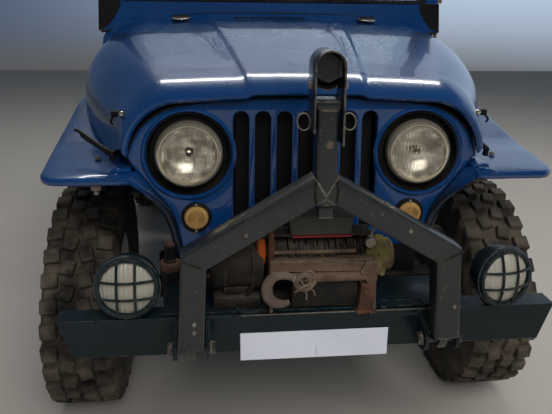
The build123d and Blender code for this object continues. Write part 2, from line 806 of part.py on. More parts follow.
def make_rear_panel():
    panel = block((-tub_half_width, tub_half_width), (tub_rear_y - rear_panel_thickness, tub_rear_y),
                  (rail_top + 5, tub_top))
    hub_inner_y = spare_face_y + tyre_half_width - hub_inner
    panel += rod_y(90, spare_x, (tub_rear_y - 1, tub_rear_y + 10), spare_z)
    panel += rod_y(55, spare_x, (tub_rear_y, hub_inner_y - running_gap), spare_z)
    return panel


# Seats, roll bar and controls

def seat_back_place(x, y, z, lean):
    return Pos(x, y, z) * Rot(-lean, 0, 0)


def make_seat_frames():
    """Box bases with a leaning back plate for each seat, and the rear bench's frame."""
    frames = []
    low, high = tub_floor_top, seat_cushion_z[0]
    for x in (-driver_x, driver_x):
        half = seat_width / 2 - 10
        base = block((x - half, x + half), (seat_front_y, seat_rear_y), (low, high))
        base -= block((x - half + seat_wall, x + half - seat_wall), (seat_front_y - 1, seat_rear_y + 1),
                      (low - 1, high - seat_wall))
        back = seat_back_place(x, seat_rear_y, high, seat_lean) * block(
            (-half, half), (seat_back_depth + running_gap, seat_back_depth + 14), (-20, 480))
        link = block((x - half, x + half), (seat_rear_y - 20, seat_rear_y + seat_back_depth + 10),
                     (high - seat_wall, high))
        frames.append(base + back + link)
    half = bench_half_width - 10
    bench = block((-half, half), (bench_front_y, bench_rear_y), (low, bench_z[0]))
    bench -= block((-half + seat_wall, half - seat_wall), (bench_front_y - 1, bench_rear_y + 1),
                   (low - 1, bench_z[0] - seat_wall))
    frames.append(bench)
    return Compound(frames)


def make_seat_cushions():
    cushions = []
    half = seat_width / 2
    for x in (-driver_x, driver_x):
        low = seat_cushion_z[0] + running_gap
        cushions.append(block((x - half, x + half), (seat_front_y - 20, seat_rear_y - 35),
                              (low, seat_cushion_z[1])))
        cushions.append(seat_back_place(x, seat_rear_y, seat_cushion_z[0], seat_lean) * block(
            (-half, half), (0, seat_back_depth), (40, seat_back_top - low)))
    low = bench_z[0] + running_gap
    across = (-bench_half_width, bench_half_width)
    split_y = bench_rear_y - bench_back_depth
    cushions.append(block(across, (bench_front_y - 20, split_y), (low, bench_z[1])))
    cushions.append(block(across, (split_y + running_gap, bench_rear_y), (low, bench_back_top)))
    return Compound(cushions)


def make_roll_bar():
    """Main hoop and two rear braces of round tube."""
    y = roll_bar_y
    x = roll_bar_half
    path = FilletPolyline([(-x, y, tub_floor_top), (-x, y, roll_bar_top), (x, y, roll_bar_top),
                           (x, y, tub_floor_top)], radius=120)
    bar = sweep(Plane(origin=path @ 0, z_dir=path % 0) * Circle(roll_bar_radius), path)
    for side in (-1, 1):
        brace = rod_between(roll_bar_radius - 5, (side * x, y, roll_bar_top - 160),
                            (side * x, brace_foot_y, tub_floor_top + 20))
        foot_x = (side * x - 38, side * x + 38)
        foot = block(foot_x, (brace_foot_y - 50, brace_foot_y + 40), (tub_floor_top, tub_floor_top + 12))
        plate = block(foot_x, (y - 50, y + 50), (tub_floor_top, tub_floor_top + 8))
        bar = bar + brace + foot + plate
    return bar


def column_point(distance):
    angle = math.radians(column_angle)
    x, y, z = column_base
    return (x, y + distance * math.cos(angle), z + distance * math.sin(angle))


def make_driver_controls():
    """Column, pedals on the firewall, and two levers on the tunnel."""
    wall_y = cowl_front_y + sheet + running_gap
    column = block((driver_x - 45, driver_x + 45), (wall_y, wall_y + 12), (880, 970))
    column += rod_between(column_radius, (driver_x, wall_y + 15, 933), column_point(0))
    column_end = column_length - steering_hub_depth - running_gap
    column += rod_between(column_radius, column_point(-8), column_point(column_end))
    controls = [column]
    # (x, y, height of the knob) of the levers
    for x, y, z in ((0, 950, 1010), (70, 1050, 900)):
        lever = rod_between(9, (x, y - 60, tunnel_top + 8), (x, y, z)) + Pos(x, y, z) * Sphere(22)
        lever += Pos(x, y - 60, tunnel_top + running_gap + 6) * Cylinder(28, 12)
        controls.append(lever)
    for x in (driver_x - 110, driver_x, driver_x + 110):
        pedal = block((x - 15, x + 15), (wall_y, wall_y + 12), (850, 890))
        pedal += rod_between(8, (x, wall_y + 10, 870), (x, 640, 740))
        controls.append(pedal + Pos(x, 640, 735) * Rot(30, 0, 0) * Box(60, 10, 60))
    return Compound(controls)


def make_steering_wheel():
    """Rim, three spokes and hub, square to the column."""
    plane = Plane(origin=column_point(column_length), x_dir=(1, 0, 0),
                  z_dir=(0, math.cos(math.radians(column_angle)), math.sin(math.radians(column_angle))))
    wheel = Torus(steering_wheel_radius, 13) + Pos(0, 0, -10) * Cylinder(38, 34)
    spoke = Pos(steering_wheel_radius / 2, 0, -4) * Box(steering_wheel_radius, 26, 8)
    for turn in (90, 210, 330):
        wheel += Rot(0, 0, turn) * spoke
    return plane * wheel


# Engine and driveline

def make_engine_block():
    """Plain block for engine, gearbox and transfer case, with its mounts on the rails."""
    engine = block((-170, 170), (-240, 440), (engine_low, 1040))
    engine += block((-100, 100), (430, 900), (gearbox_low, 585))
    engine += block((differential_x - 70, 100), (890, 1080), (axle_height - 45, 580))
    mount = block((160, frame_rail_x - rail_width / 2 - running_gap), (-60, -20), (engine_low, 560))
    return engine + pair(mount)


def make_radiator():
    return block((-200, 200), (-385, -330), (engine_low + running_gap, 1100))


def make_exhaust():
    z = exhaust_z
    start_x = 170 + running_gap
    path = FilletPolyline([(start_x, 100, 600), (exhaust_x, 100, 600), (exhaust_x, 300, z),
                           (exhaust_x, tub_rear_y + 10, z)], radius=50)
    pipe = sweep(Plane(origin=path @ 0, z_dir=path % 0) * Circle(exhaust_radius), path)
    hanger_z = 495 - running_gap
    pipe += rod_y(60, exhaust_x - 30, (1250, 1620), z)
    for y in (1150, 1700):
        pipe += block((exhaust_x - 6, exhaust_x + 6), (y - 8, y + 8), (z, hanger_z))
    return pipe


def make_axles():
    """Front and rear axle housings; the front one carries the yokes for the kingpins."""
    axles = []
    z = axle_height
    for y, forward in ((0, 1), (wheelbase, -1)):
        reach = kingpin_x - 50
        tube = rod_x(axle_tube_radius, (-reach, reach), y, z)
        case = Pos(differential_x, y, z) * Sphere(differential_radius)
        snout = rod_y(45, differential_x, sorted((y, y + forward * 200)), z)
        axle = tube + case + snout
        if y == 0:
            yoke = block((reach - 10, reach + 12), (y - 35, y + 35),
                         (z - yoke_half_height, z + yoke_half_height))
            for low in (z - yoke_half_height, z + yoke_half_height - yoke_thickness):
                ear = block((reach, kingpin_x), (y - 25, y + 25), (low, low + yoke_thickness))
                ear += Pos(kingpin_x, y, low + yoke_thickness / 2) * Cylinder(25, yoke_thickness)
                ear -= Pos(kingpin_x, y, low + yoke_thickness / 2) * Cylinder(
                    kingpin_radius + running_gap, yoke_thickness + 2)
                yoke += ear
            axle += pair(yoke)
        else:
            spindle = rod_x(spindle_radius, (reach - 5, wheel_centre_x + 64), y, z)
            end = rod_x(axle_tube_radius, (reach - 5, backing_plate_x + 8), y, z)
            plate = rod_x(drum_radius - 5, (backing_plate_x, backing_plate_x + 5), y, z)
            axle += pair(spindle + end + plate)
        axles.append(axle)
    return Compound(axles)


def make_knuckle():
    """Left knuckle: kingpin, spindle, backing plate and steering arm."""
    z = axle_height
    inside = yoke_half_height - yoke_thickness - 5
    knuckle = Pos(kingpin_x, 0, z) * Cylinder(28, 2 * inside)
    knuckle += Pos(kingpin_x, 0, z) * Cylinder(kingpin_radius, 2 * yoke_half_height + 6)
    knuckle += rod_x(spindle_radius, (kingpin_x, wheel_centre_x + 64), 0, z)
    knuckle += rod_x(drum_radius - 5, (backing_plate_x, backing_plate_x + 5), 0, z)
    arm_z = (z + 12, z + 26)
    knuckle += block((kingpin_x - 10, kingpin_x + 10), (-steering_arm, -10), arm_z)
    eye = Pos(kingpin_x, -steering_arm, z + 19) * Cylinder(16, 14)
    knuckle += eye
    knuckle -= Pos(kingpin_x, -steering_arm, z + 19) * Cylinder(6 + running_gap, 30)
    return knuckle


def make_tie_rod():
    z = axle_height + 42
    rod = rod_x(tie_rod_radius, (-kingpin_x + 10, kingpin_x - 10), -steering_arm, z)
    for x in (-kingpin_x, kingpin_x):
        rod += Pos(x, -steering_arm, z) * Cylinder(16, 28)
        rod += Pos(x, -steering_arm, z - 24) * Cylinder(6, 26)
    return rod


def make_suspension():
    """Leaf springs under both axles, their eyes, clamps and dampers."""
    pieces = []
    radius = (spring_half_length ** 2 + spring_sag ** 2) / (2 * spring_sag)
    middle_top = axle_height - axle_tube_radius - 6
    for y in (0, wheelbase):
        centre_z = middle_top + radius
        spring = None
        for i, half in enumerate(leaf_half_lengths):
            inner_r = radius + i * leaf_thickness
            outer_r = inner_r + leaf_thickness
            turn = math.asin(half / radius)
            ring = [(y - outer_r * math.sin(turn), centre_z - outer_r * math.cos(turn)),
                    (y, centre_z - outer_r),
                    (y + outer_r * math.sin(turn), centre_z - outer_r * math.cos(turn))]
            inner = [(y + inner_r * math.sin(turn), centre_z - inner_r * math.cos(turn)),
                     (y, centre_z - inner_r),
                     (y - inner_r * math.sin(turn), centre_z - inner_r * math.cos(turn))]
            face = make_face([ThreePointArc(*ring), Line(ring[2], inner[0]), ThreePointArc(*inner),
                              Line(inner[2], ring[0])])
            leaf = Pos(frame_rail_x - spring_width / 2, 0, 0) * extrude(Plane.YZ * face, spring_width)
            spring = leaf if spring is None else spring + leaf
        eye_z = middle_top + spring_sag + 2
        for eye_y in (y - spring_half_length, y + spring_half_length):
            spring += rod_x(17, (frame_rail_x - spring_width / 2, frame_rail_x + spring_width / 2),
                            eye_y, eye_z)
            for x in (frame_rail_x - spring_width / 2 - 5, frame_rail_x + spring_width / 2):
                spring += block((x, x + 5), (eye_y - 16, eye_y + 16), (eye_z - 16, rail_top - rail_height))
        spring += block((frame_rail_x - 30, frame_rail_x + 30), (y - 60, y + 60),
                        (middle_top - 4 * leaf_thickness - 10, middle_top - 4 * leaf_thickness))
        spring += block((frame_rail_x - 22, frame_rail_x + 22), (y - 40, y + 40),
                        (middle_top - 1, middle_top + 6))
        for bolt_y in (y - 50, y + 42):
            for x in (frame_rail_x - 30, frame_rail_x + 22):
                spring += block((x, x + 8), (bolt_y, bolt_y + 8),
                                (middle_top - 4 * leaf_thickness - 6, axle_height + axle_tube_radius + 8))
        damper_x = frame_rail_x + 52
        foot = (damper_x, y - 40, middle_top - 4 * leaf_thickness - 5)
        head = (damper_x, y - 110, 540)
        spring += rod_between(16, foot, (damper_x, y - 80, 440))
        spring += rod_between(22, (damper_x, y - 75, 425), head)
        spring += rod_x(8, (frame_rail_x + 20, damper_x), y - 40, middle_top - 4 * leaf_thickness - 5)
        spring += rod_x(8, (frame_rail_x + rail_width / 2, damper_x), y - 106, 530)
        pieces += pair(spring).solids()
    return Compound(pieces)


def make_propshafts():
    z = axle_height
    front = rod_y(26, differential_x, (200 + running_gap, 890 - running_gap), z)
    rear = rod_y(26, differential_x, (1080 + running_gap, wheelbase - 200 - running_gap), z)
    return Compound([front, rear])


# Windshield, folding about the hinges at its foot

def lean_back(piece):
    """Lean a piece drawn upright about the windshield's hinge line."""
    return Pos(0, windshield_y, windshield_hinge_z) * Rot(-windshield_lean, 0, 0) * Pos(
        0, -windshield_y, -windshield_hinge_z) * piece


def window_outline(half_width, clearance):
    """Outline (x, z) of the window with its cut upper corners, drawn in by a clearance."""
    side_top, top = windshield_top - 70, windshield_top - 40 - clearance
    right = [(half_width, windshield_panel_top + clearance), (half_width, side_top), (half_width - 40, top)]
    return [(-x, z) for x, z in right] + list(reversed(right))


def make_windshield_frame():
    y = (windshield_y - windshield_thickness / 2, windshield_y + windshield_thickness / 2)
    outer = windshield_half_width
    foot = windshield_foot_z
    low = windshield_hinge_z - 8
    right = [(outer - 75, low), (outer - 60, foot), (outer, foot), (outer, windshield_top - 60),
             (outer - 60, windshield_top)]
    frame = front_plate(right + [(-x, z) for x, z in reversed(right)], y)
    opening = front_plate(window_outline(outer - windshield_post, 0), (y[0] - 1, y[1] + 1))
    frame = lean_back(frame - opening)
    for side in (-1, 1):
        x = side * windshield_lug_x
        frame -= block((x - 30, x + 30), (windshield_y - 40, windshield_y + 40),
                       (foot - 10, windshield_hinge_z + 20))
        frame += rod_x(5, (x - 32, x + 32), windshield_y, windshield_hinge_z)
    return frame


def make_windshield_glass():
    y = (windshield_y - glass_thickness / 2, windshield_y + glass_thickness / 2)
    half_width = windshield_half_width - windshield_post - running_gap
    return lean_back(front_plate(window_outline(half_width, running_gap), y))


def make_side_mirror():
    arm = rod_between(8, (755, 610, 1060), (755, 665, 1400))
    arm += block((745 + running_gap, 762), (590, 625), (1010, 1075))
    head = block((670, 785), (655, 675), (1390, 1550))
    return arm + head


pieces = {
    "frame_rails": make_frame(),
    "front_bumper": make_front_bumper(),
    "rear_bumper": make_rear_bumper(),
    "winch_cradle": make_winch_cradle(),
    "winch": make_winch(),
    "winch_hook": make_winch_hook(),
    "fog_lamps": make_fog_lamps(),
    "headlamp_rings": make_headlamp_rings(),
    "lamp_glass": make_lamp_glass(),
    "signal_lamps": make_signal_lamps(),
    "number_plate": make_number_plate(),
    "grille": make_grille(),
    "cowl": make_cowl(),
    "floor": make_floor(),
    "rear_panel": make_rear_panel(),
    "seat_frames": make_seat_frames(),
    "seat_cushions": make_seat_cushions(),
    "driver_controls": make_driver_controls(),
    "roll_bar": make_roll_bar(),
    "engine_block": make_engine_block(),
    "radiator": make_radiator(),
    "exhaust": make_exhaust(),
    "axles": make_axles(),
    "suspension": make_suspension(),
    "propshafts": make_propshafts(),
    "side_mirror": make_side_mirror(),
    "hood": make_hood(),
    "windshield_frame": make_windshield_frame(),
    "windshield_glass": make_windshield_glass(),
    "steering_wheel": make_steering_wheel(),
    "tie_rod": make_tie_rod(),
    "tow_bar": make_tow_bar(),
}
body_side = make_body_side()
fender = make_fender()
knuckle = make_knuckle()
for name, side_piece in (("body_side", body_side), ("fender", fender), ("knuckle", knuckle)):
    pieces[name + "_left"] = side_piece
    pieces[name + "_right"] = mirror(side_piece, Plane.YZ)

# (corner, side, station)
wheel_table = (
    ("front_left", 1, 0),
    ("front_right", -1, 0),
    ("rear_left", 1, wheelbase),
    ("rear_right", -1, wheelbase),
)
for corner, side, y in wheel_table:
    pieces["tyre_" + corner] = wheel_place(side, y) * tyre_shape
    pieces["rim_" + corner] = wheel_place(side, y) * rim_shape
spare_place = Pos(spare_x, spare_face_y + tyre_half_width, spare_z) * Rot(0, 0, 90)
pieces["tyre_spare"] = spare_place * tyre_shape
pieces["rim_spare"] = spare_place * rim_shape

os.makedirs("parts", exist_ok=True)
for name, piece in pieces.items():
    export_step(place * piece, "parts/" + name + ".step")
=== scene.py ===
import bmesh
import bpy
import json
import math
import numpy as np
from mathutils import Matrix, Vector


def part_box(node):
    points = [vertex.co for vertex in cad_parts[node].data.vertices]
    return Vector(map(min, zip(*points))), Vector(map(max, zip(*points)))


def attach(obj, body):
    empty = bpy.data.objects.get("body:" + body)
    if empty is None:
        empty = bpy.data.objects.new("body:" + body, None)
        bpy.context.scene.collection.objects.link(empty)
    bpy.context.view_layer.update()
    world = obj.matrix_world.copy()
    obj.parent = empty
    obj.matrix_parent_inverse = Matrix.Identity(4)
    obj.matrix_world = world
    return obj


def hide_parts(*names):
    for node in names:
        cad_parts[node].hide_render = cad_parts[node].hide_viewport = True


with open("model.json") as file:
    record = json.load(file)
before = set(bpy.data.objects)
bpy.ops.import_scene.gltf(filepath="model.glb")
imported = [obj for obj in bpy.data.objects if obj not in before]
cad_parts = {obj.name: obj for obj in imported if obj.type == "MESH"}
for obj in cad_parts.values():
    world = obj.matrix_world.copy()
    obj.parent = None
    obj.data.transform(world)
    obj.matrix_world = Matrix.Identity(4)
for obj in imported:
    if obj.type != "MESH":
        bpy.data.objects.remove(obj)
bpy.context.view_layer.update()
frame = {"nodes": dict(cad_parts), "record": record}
nodes = frame["nodes"]
bodyOf = {node: body for body, members in frame["record"]["behaviour"]["bodies"].items() for node in members}
slotOf = {row["node"]: row["material_slot"] for row in frame["record"]["subparts"]}

# Shapes are worked out in millimetres from the middle of the front axle, at ground height
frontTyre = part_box("tyre_front_left")
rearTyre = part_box("tyre_rear_left")
axleShift = np.array([0.0, (frontTyre[0].y + frontTyre[1].y) / 2, 0.0])
axleZ = (frontTyre[0].z + frontTyre[1].z) / 2 * 1000
wheelbase = ((rearTyre[0].y + rearTyre[1].y) / 2 - axleShift[1]) * 1000
print("frame loaded, front axle at", round(axleShift[1], 4), "wheelbase", round(wheelbase, 1))


def boxOf(node):
    # Low and high corners of a CAD node, in millimetres from the front axle.
    low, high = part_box(node)
    return (np.array(low) - axleShift) * 1000, (np.array(high) - axleShift) * 1000


# Mesh helpers

def gridQuads(rows, cols, closeRows=False, closeCols=False):
    # indices of a rows by cols grid, joined round where it closes
    i = np.arange(rows if closeRows else rows - 1)[:, None]
    j = np.arange(cols if closeCols else cols - 1)[None, :]
    nextI, nextJ = (i + 1) % rows, (j + 1) % cols
    return np.stack([i * cols + j, i * cols + nextJ, nextI * cols + nextJ, nextI * cols + j], -1).reshape(-1, 4)


def joined(*parts):
    # several (points, quads) as one
    offsets = np.cumsum([0] + [len(points) for points, _ in parts])
    return (np.concatenate([points for points, _ in parts]),
            np.concatenate([quads + offset for (_, quads), offset in zip(parts, offsets)]))


def moved(part, shift=(0, 0, 0), turn=None):
    # turn is a (degrees, axis) pair about the origin, made before the shift
    points, quads = part
    if turn is not None:
        rotation = np.array(Matrix.Rotation(math.radians(turn[0]), 3, turn[1]))
        points = points @ rotation.T
    return points + np.array(shift, float), quads


def mirrored(part):
    # the same part on the other side, with its faces turned back outwards
    points, quads = part
    return points * np.array([-1, 1, 1]), quads[:, ::-1]


def roundBox(x, y, z, radius=2, steps=2):
    # a sphere's grid of normals whose eight parts are moved out to the box's corners
    low, high = np.array([x[0], y[0], z[0]], float), np.array([x[1], y[1], z[1]], float)
    middle, core = (low + high) / 2, (high - low) / 2 - radius
    quarter = np.linspace(0, math.pi / 2, steps + 1)
    around = np.concatenate([quarter + k * math.pi / 2 for k in range(4)])
    signX = np.repeat([1, -1, -1, 1], steps + 1)
    signY = np.repeat([1, 1, -1, -1], steps + 1)
    tilt = np.concatenate([quarter, quarter + math.pi / 2])[:, None]
    signZ = np.repeat([1, -1], steps + 1)[:, None]
    normal = np.stack([np.sin(tilt) * np.cos(around), np.sin(tilt) * np.sin(around),
                       np.cos(tilt) * np.ones_like(around)], -1)
    sign = np.stack([signX * np.ones_like(signZ), signY * np.ones_like(signZ),
                     signZ * np.ones_like(signX)], -1)
    points = (middle + sign * core + normal * radius).reshape(-1, 3)
    rows, cols = normal.shape[:2]
    quads = gridQuads(rows, cols, closeCols=True)[:, ::-1]
    corners = np.arange(4) * (steps + 1)
    caps = np.stack([corners, (corners + (rows - 1) * cols)[::-1]])
    return points, np.concatenate([quads, caps])


def turnedPart(profile, centre=(0, 0, 0), axis="Y", segments=48, closed=False):
    # each (radius, depth) point of the profile goes round the axis in a circle
    profile = np.asarray(profile, float)
    angle = np.linspace(0, 2 * math.pi, segments, endpoint=False)
    radius, depth = profile[:, 0][:, None], profile[:, 1][:, None] * np.ones_like(angle)
    across, up = radius * np.cos(angle), radius * np.sin(angle)
    order = {"Y": (across, depth, up), "X": (depth, across, up), "Z": (across, up, depth)}[axis]
    points = np.stack(order, -1).reshape(-1, 3) + np.array(centre, float)
    return points, gridQuads(len(profile), segments, closeRows=closed, closeCols=True)


def circleProfile(radius, count=10):
    angle = np.linspace(0, 2 * math.pi, count, endpoint=False)
    return np.stack([radius * np.cos(angle), radius * np.sin(angle)], -1)


def sweptPart(path, profile, up=(0, 0, 1), closed=False, capped=True):
    # the profile is set square to the path at each point: its first value sideways, its second upwards
    path, profile = np.asarray(path, float), np.asarray(profile, float)
    if closed:
        along = np.roll(path, -1, 0) - np.roll(path, 1, 0)
    else:
        along = np.gradient(path, axis=0)
    along /= np.linalg.norm(along, axis=1, keepdims=True)
    side = np.cross(along, np.array(up, float))
    side /= np.linalg.norm(side, axis=1, keepdims=True)
    over = np.cross(side, along)
    points = path[:, None] + side[:, None] * profile[None, :, :1] + over[:, None] * profile[None, :, 1:]
    count = len(profile)
    quads = gridQuads(len(path), count, closeRows=closed, closeCols=True)
    points = points.reshape(-1, 3)
    if capped and not closed:
        ends = np.array([path[0], path[-1]])
        last = (len(path) - 1) * count
        ring = np.arange(count)
        nextRing = (ring + 1) % count
        tip = len(points)
        first = np.stack([ring * 0 + tip, nextRing, ring, ring * 0 + tip], -1)
        final = np.stack([ring * 0 + tip + 1, ring + last, nextRing + last, ring * 0 + tip + 1], -1)
        points = np.concatenate([points, ends])
        quads = np.concatenate([quads, first, final])
    return points, quads


def smoothPath(points, samples=12):
    # Catmull-Rom curve through the points, each span divided evenly
    points = np.asarray(points, float)
    padded = np.concatenate([2 * points[:1] - points[1:2], points, 2 * points[-1:] - points[-2:-1]])
    t = np.linspace(0, 1, samples, endpoint=False)[None, :, None]
    a, b, c, d = (padded[k:len(padded) - 3 + k][:, None] for k in range(4))
    curve = 0.5 * (2 * b + (c - a) * t + (2 * a - 5 * b + 4 * c - d) * t ** 2 + (3 * b - a - 3 * c + d) * t ** 3)
    return np.concatenate([curve.reshape(-1, points.shape[1]), points[-1:]])


def tube(points, radius, samples=8, sides=10, up=(0, 0, 1)):
    return sweptPart(smoothPath(points, samples), circleProfile(radius, sides), up)


def straightTube(start, end, radius, sides=16):
    start, end = np.array(start, float), np.array(end, float)
    along = (end - start) / np.linalg.norm(end - start)
    up = (0, 0, 1) if abs(along[2]) < 0.9 else (0, 1, 0)
    return sweptPart(np.linspace(start, end, 2), circleProfile(radius, sides), up)


def hexBolt(centre, axis, width=17, height=8, washer=13):
    # six-sided head with a chamfer, standing on a washer; height may be negative
    radius = width / 2 / math.cos(math.pi / 6)
    head = turnedPart([(radius, 0), (radius, height * 0.85), (radius * 0.86, height), (0, height)], centre, axis, 6)
    disc = turnedPart([(washer, 0), (washer, height * 0.22), (0, height * 0.22)], centre, axis, 20)
    return joined(head, disc)


def makeMesh(name, part, smoothAngle=35, closedShape=True):
    points, quads = part
    mesh = bpy.data.meshes.new(name)
    mesh.from_pydata((points / 1000 + axleShift).tolist(), [], quads.tolist())
    work = bmesh.new()
    work.from_mesh(mesh)
    bmesh.ops.remove_doubles(work, verts=work.verts, dist=1e-6)
    bmesh.ops.dissolve_degenerate(work, edges=work.edges, dist=1e-7)
    if closedShape:
        bmesh.ops.recalc_face_normals(work, faces=work.faces)
    work.to_mesh(mesh)
    work.free()
    mesh.polygons.foreach_set("use_smooth", [True] * len(mesh.polygons))
    mesh.set_sharp_from_angle(angle=math.radians(smoothAngle))
    return mesh


def addPiece(name, part, material, body, replaced=(), slotName=None, smoothAngle=35, closedShape=True):
    piece = bpy.data.objects.new(name, makeMesh(name, part, smoothAngle, closedShape))
    bpy.context.scene.collection.objects.link(piece)
    return finishPiece(piece, material, body, replaced, slotName)


def finishPiece(piece, material, body, replaced=(), slotName=None):
    if piece.data.materials:
        piece.data.materials.clear()
    piece.data.materials.append(material)
    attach(piece, body)
    if replaced:
        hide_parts(*replaced)
    slotName or (slotOf[replaced[0]] if replaced else "black_steel")
    return piece


def softEdged(node, material, width=2.0, segments=2, angle=30, name=None):
    # A CAD node's own shape with its triangles joined into whole faces and its edges rounded.
    mesh = nodes[node].data.copy()
    mesh.name = name or node + "_dressed"
    work = bmesh.new()
    work.from_mesh(mesh)
    bmesh.ops.remove_doubles(work, verts=work.verts, dist=1e-5)
    bmesh.ops.dissolve_limit(work, angle_limit=math.radians(1.0), verts=work.verts, edges=work.edges)
    work.to_mesh(mesh)
    work.free()
    mesh.polygons.foreach_set("use_smooth", [True] * len(mesh.polygons))
    mesh.set_sharp_from_angle(angle=math.radians(angle))
    piece = bpy.data.objects.new(mesh.name, mesh)
    bpy.context.scene.collection.objects.link(piece)
    bevel = piece.modifiers.new("edges", "BEVEL")
    bevel.width = width / 1000
    bevel.segments = segments
    bevel.limit_method = "ANGLE"
    bevel.angle_limit = math.radians(angle)
    bevel.harden_normals = True
    bevel.use_clamp_overlap = True
    return finishPiece(piece, material, bodyOf[node], (node,))


# Shader helpers

def addNode(tree, kind, inputs=None, **settings):
    node = tree.nodes.new(kind)
    for key, value in settings.items():
        setattr(node, key, value)
    for key, value in (inputs or {}).items():
        if isinstance(value, bpy.types.NodeSocket):
            tree.links.new(value, node.inputs[key])
        else:
            node.inputs[key].default_value = value
    return node


def mathNode(tree, operation, first, second=0.5, clamp=False):
    return addNode(tree, "ShaderNodeMath", {0: first, 1: second}, operation=operation, use_clamp=clamp).outputs[0]


def mixColour(tree, factor, first, second, blend="MIX"):
    node = addNode(tree, "ShaderNodeMix", data_type="RGBA", blend_type=blend)
    for index, value in ((0, factor), (6, first), (7, second)):
        if isinstance(value, bpy.types.NodeSocket):
            tree.links.new(value, node.inputs[index])
        else:
            node.inputs[index].default_value = value
    return node.outputs[2]


def rampNode(tree, factor, low, high):
    node = addNode(tree, "ShaderNodeMapRange", {"Value": factor, "From Min": low, "From Max": high},
                   interpolation_type="SMOOTHSTEP")
    return node.outputs[0]


def noiseNode(tree, vector, scale, detail=4.0, roughness=0.6, distortion=0.0):
    return addNode(tree, "ShaderNodeTexNoise", {"Vector": vector, "Scale": scale, "Detail": detail,
                                                "Roughness": roughness, "Distortion": distortion}).outputs[0]


def newGroup(name, inputs, outputs):
    group = bpy.data.node_groups.new(name, "ShaderNodeTree")
    for socketName, kind, value in inputs:
        socket = group.interface.new_socket(socketName, in_out="INPUT", socket_type=kind)
        if value is not None:
            socket.default_value = value
    for socketName, kind in outputs:
        group.interface.new_socket(socketName, in_out="OUTPUT", socket_type=kind)
    return group, group.nodes.new("NodeGroupInput"), group.nodes.new("NodeGroupOutput")


def makeDustGroup():
    # Dust that lies on what faces up, broken by noise: mask = up * noise * amount.
    group, given, put = newGroup("dustOnTop", [
        ("Amount", "NodeSocketFloat", 0.3), ("Scale", "NodeSocketFloat", 6.0)], [("Mask", "NodeSocketFloat")])
    place = addNode(group, "ShaderNodeTexCoord").outputs["Object"]
    normal = addNode(group, "ShaderNodeTexCoord").outputs["Normal"]
    up = addNode(group, "ShaderNodeSeparateXYZ", {"Vector": normal}).outputs["Z"]
    facing = rampNode(group, up, -0.2, 0.9)
    broken = rampNode(group, noiseNode(group, place, given.outputs["Scale"], 6.0, 0.65), 0.3, 0.75)
    mask = mathNode(group, "MULTIPLY", mathNode(group, "MULTIPLY", facing, broken), given.outputs["Amount"], True)
    group.links.new(mask, put.inputs["Mask"])
    return group


def makeWearGroup():
    # Chipped edges: the rounded normal of a Bevel node against the true one, broken by noise, plus flecks.
    group, given, put = newGroup("edgeWear", [
        ("Radius", "NodeSocketFloat", 0.004), ("Amount", "NodeSocketFloat", 0.5),
        ("Flecks", "NodeSocketFloat", 0.2), ("Scale", "NodeSocketFloat", 40.0)], [("Mask", "NodeSocketFloat")])
    place = addNode(group, "ShaderNodeTexCoord").outputs["Object"]
    rounded = addNode(group, "ShaderNodeBevel", {"Radius": given.outputs["Radius"]}, samples=4).outputs[0]
    true = addNode(group, "ShaderNodeNewGeometry").outputs["Normal"]
    dot = addNode(group, "ShaderNodeVectorMath", {0: rounded, 1: true}, operation="DOT_PRODUCT").outputs["Value"]
    edge = rampNode(group, mathNode(group, "SUBTRACT", 1.0, dot), 0.005, 0.12)
    noise = noiseNode(group, place, given.outputs["Scale"], 5.0, 0.7)
    chipped = mathNode(group, "MULTIPLY", edge, rampNode(group, noise, 0.42, 0.58))
    fine = noiseNode(group, place, mathNode(group, "MULTIPLY", given.outputs["Scale"], 4.0), 3.0, 0.6)
    flecks = mathNode(group, "MULTIPLY", rampNode(group, fine, 0.66, 0.72), given.outputs["Flecks"])
    mask = mathNode(group, "ADD", mathNode(group, "MULTIPLY", chipped, given.outputs["Amount"]), flecks, True)
    group.links.new(mask, put.inputs["Mask"])
    return group


def makeGrainGroup():
    # Fine uneven grain for a surface's height and its roughness.
    group, given, put = newGroup("fineGrain", [
        ("Scale", "NodeSocketFloat", 200.0), ("Coarse", "NodeSocketFloat", 12.0)],
        [("Height", "NodeSocketFloat"), ("Blotches", "NodeSocketFloat")])
    place = addNode(group, "ShaderNodeTexCoord").outputs["Object"]
    group.links.new(noiseNode(group, place, given.outputs["Scale"], 3.0, 0.6), put.inputs["Height"])
    group.links.new(noiseNode(group, place, given.outputs["Coarse"], 6.0, 0.6), put.inputs["Blotches"])
    return group


dustGroup = makeDustGroup()
wearGroup = makeWearGroup()
grainGroup = makeGrainGroup()


def groupNode(tree, group, **inputs):
    node = tree.nodes.new("ShaderNodeGroup")
    node.node_tree = group
    for key, value in inputs.items():
        node.inputs[key].default_value = value
    return node


def colour(red, green, blue):
    # Colour as read off a screen, 0 to 255, for a shader's linear socket.
    given = np.array([red, green, blue]) / 255
    linear = np.where(given <= 0.04045, given / 12.92, ((given + 0.055) / 1.055) ** 2.4)
    return (*linear.tolist(), 1.0)


def newMaterial(name, sockets):
    material = bpy.data.materials.new(name)
    material.use_nodes = True
    tree = material.node_tree
    shader = tree.nodes["Principled BSDF"]
    for key, value in sockets.items():
        shader.inputs[key].default_value = value
    return material, tree, shader


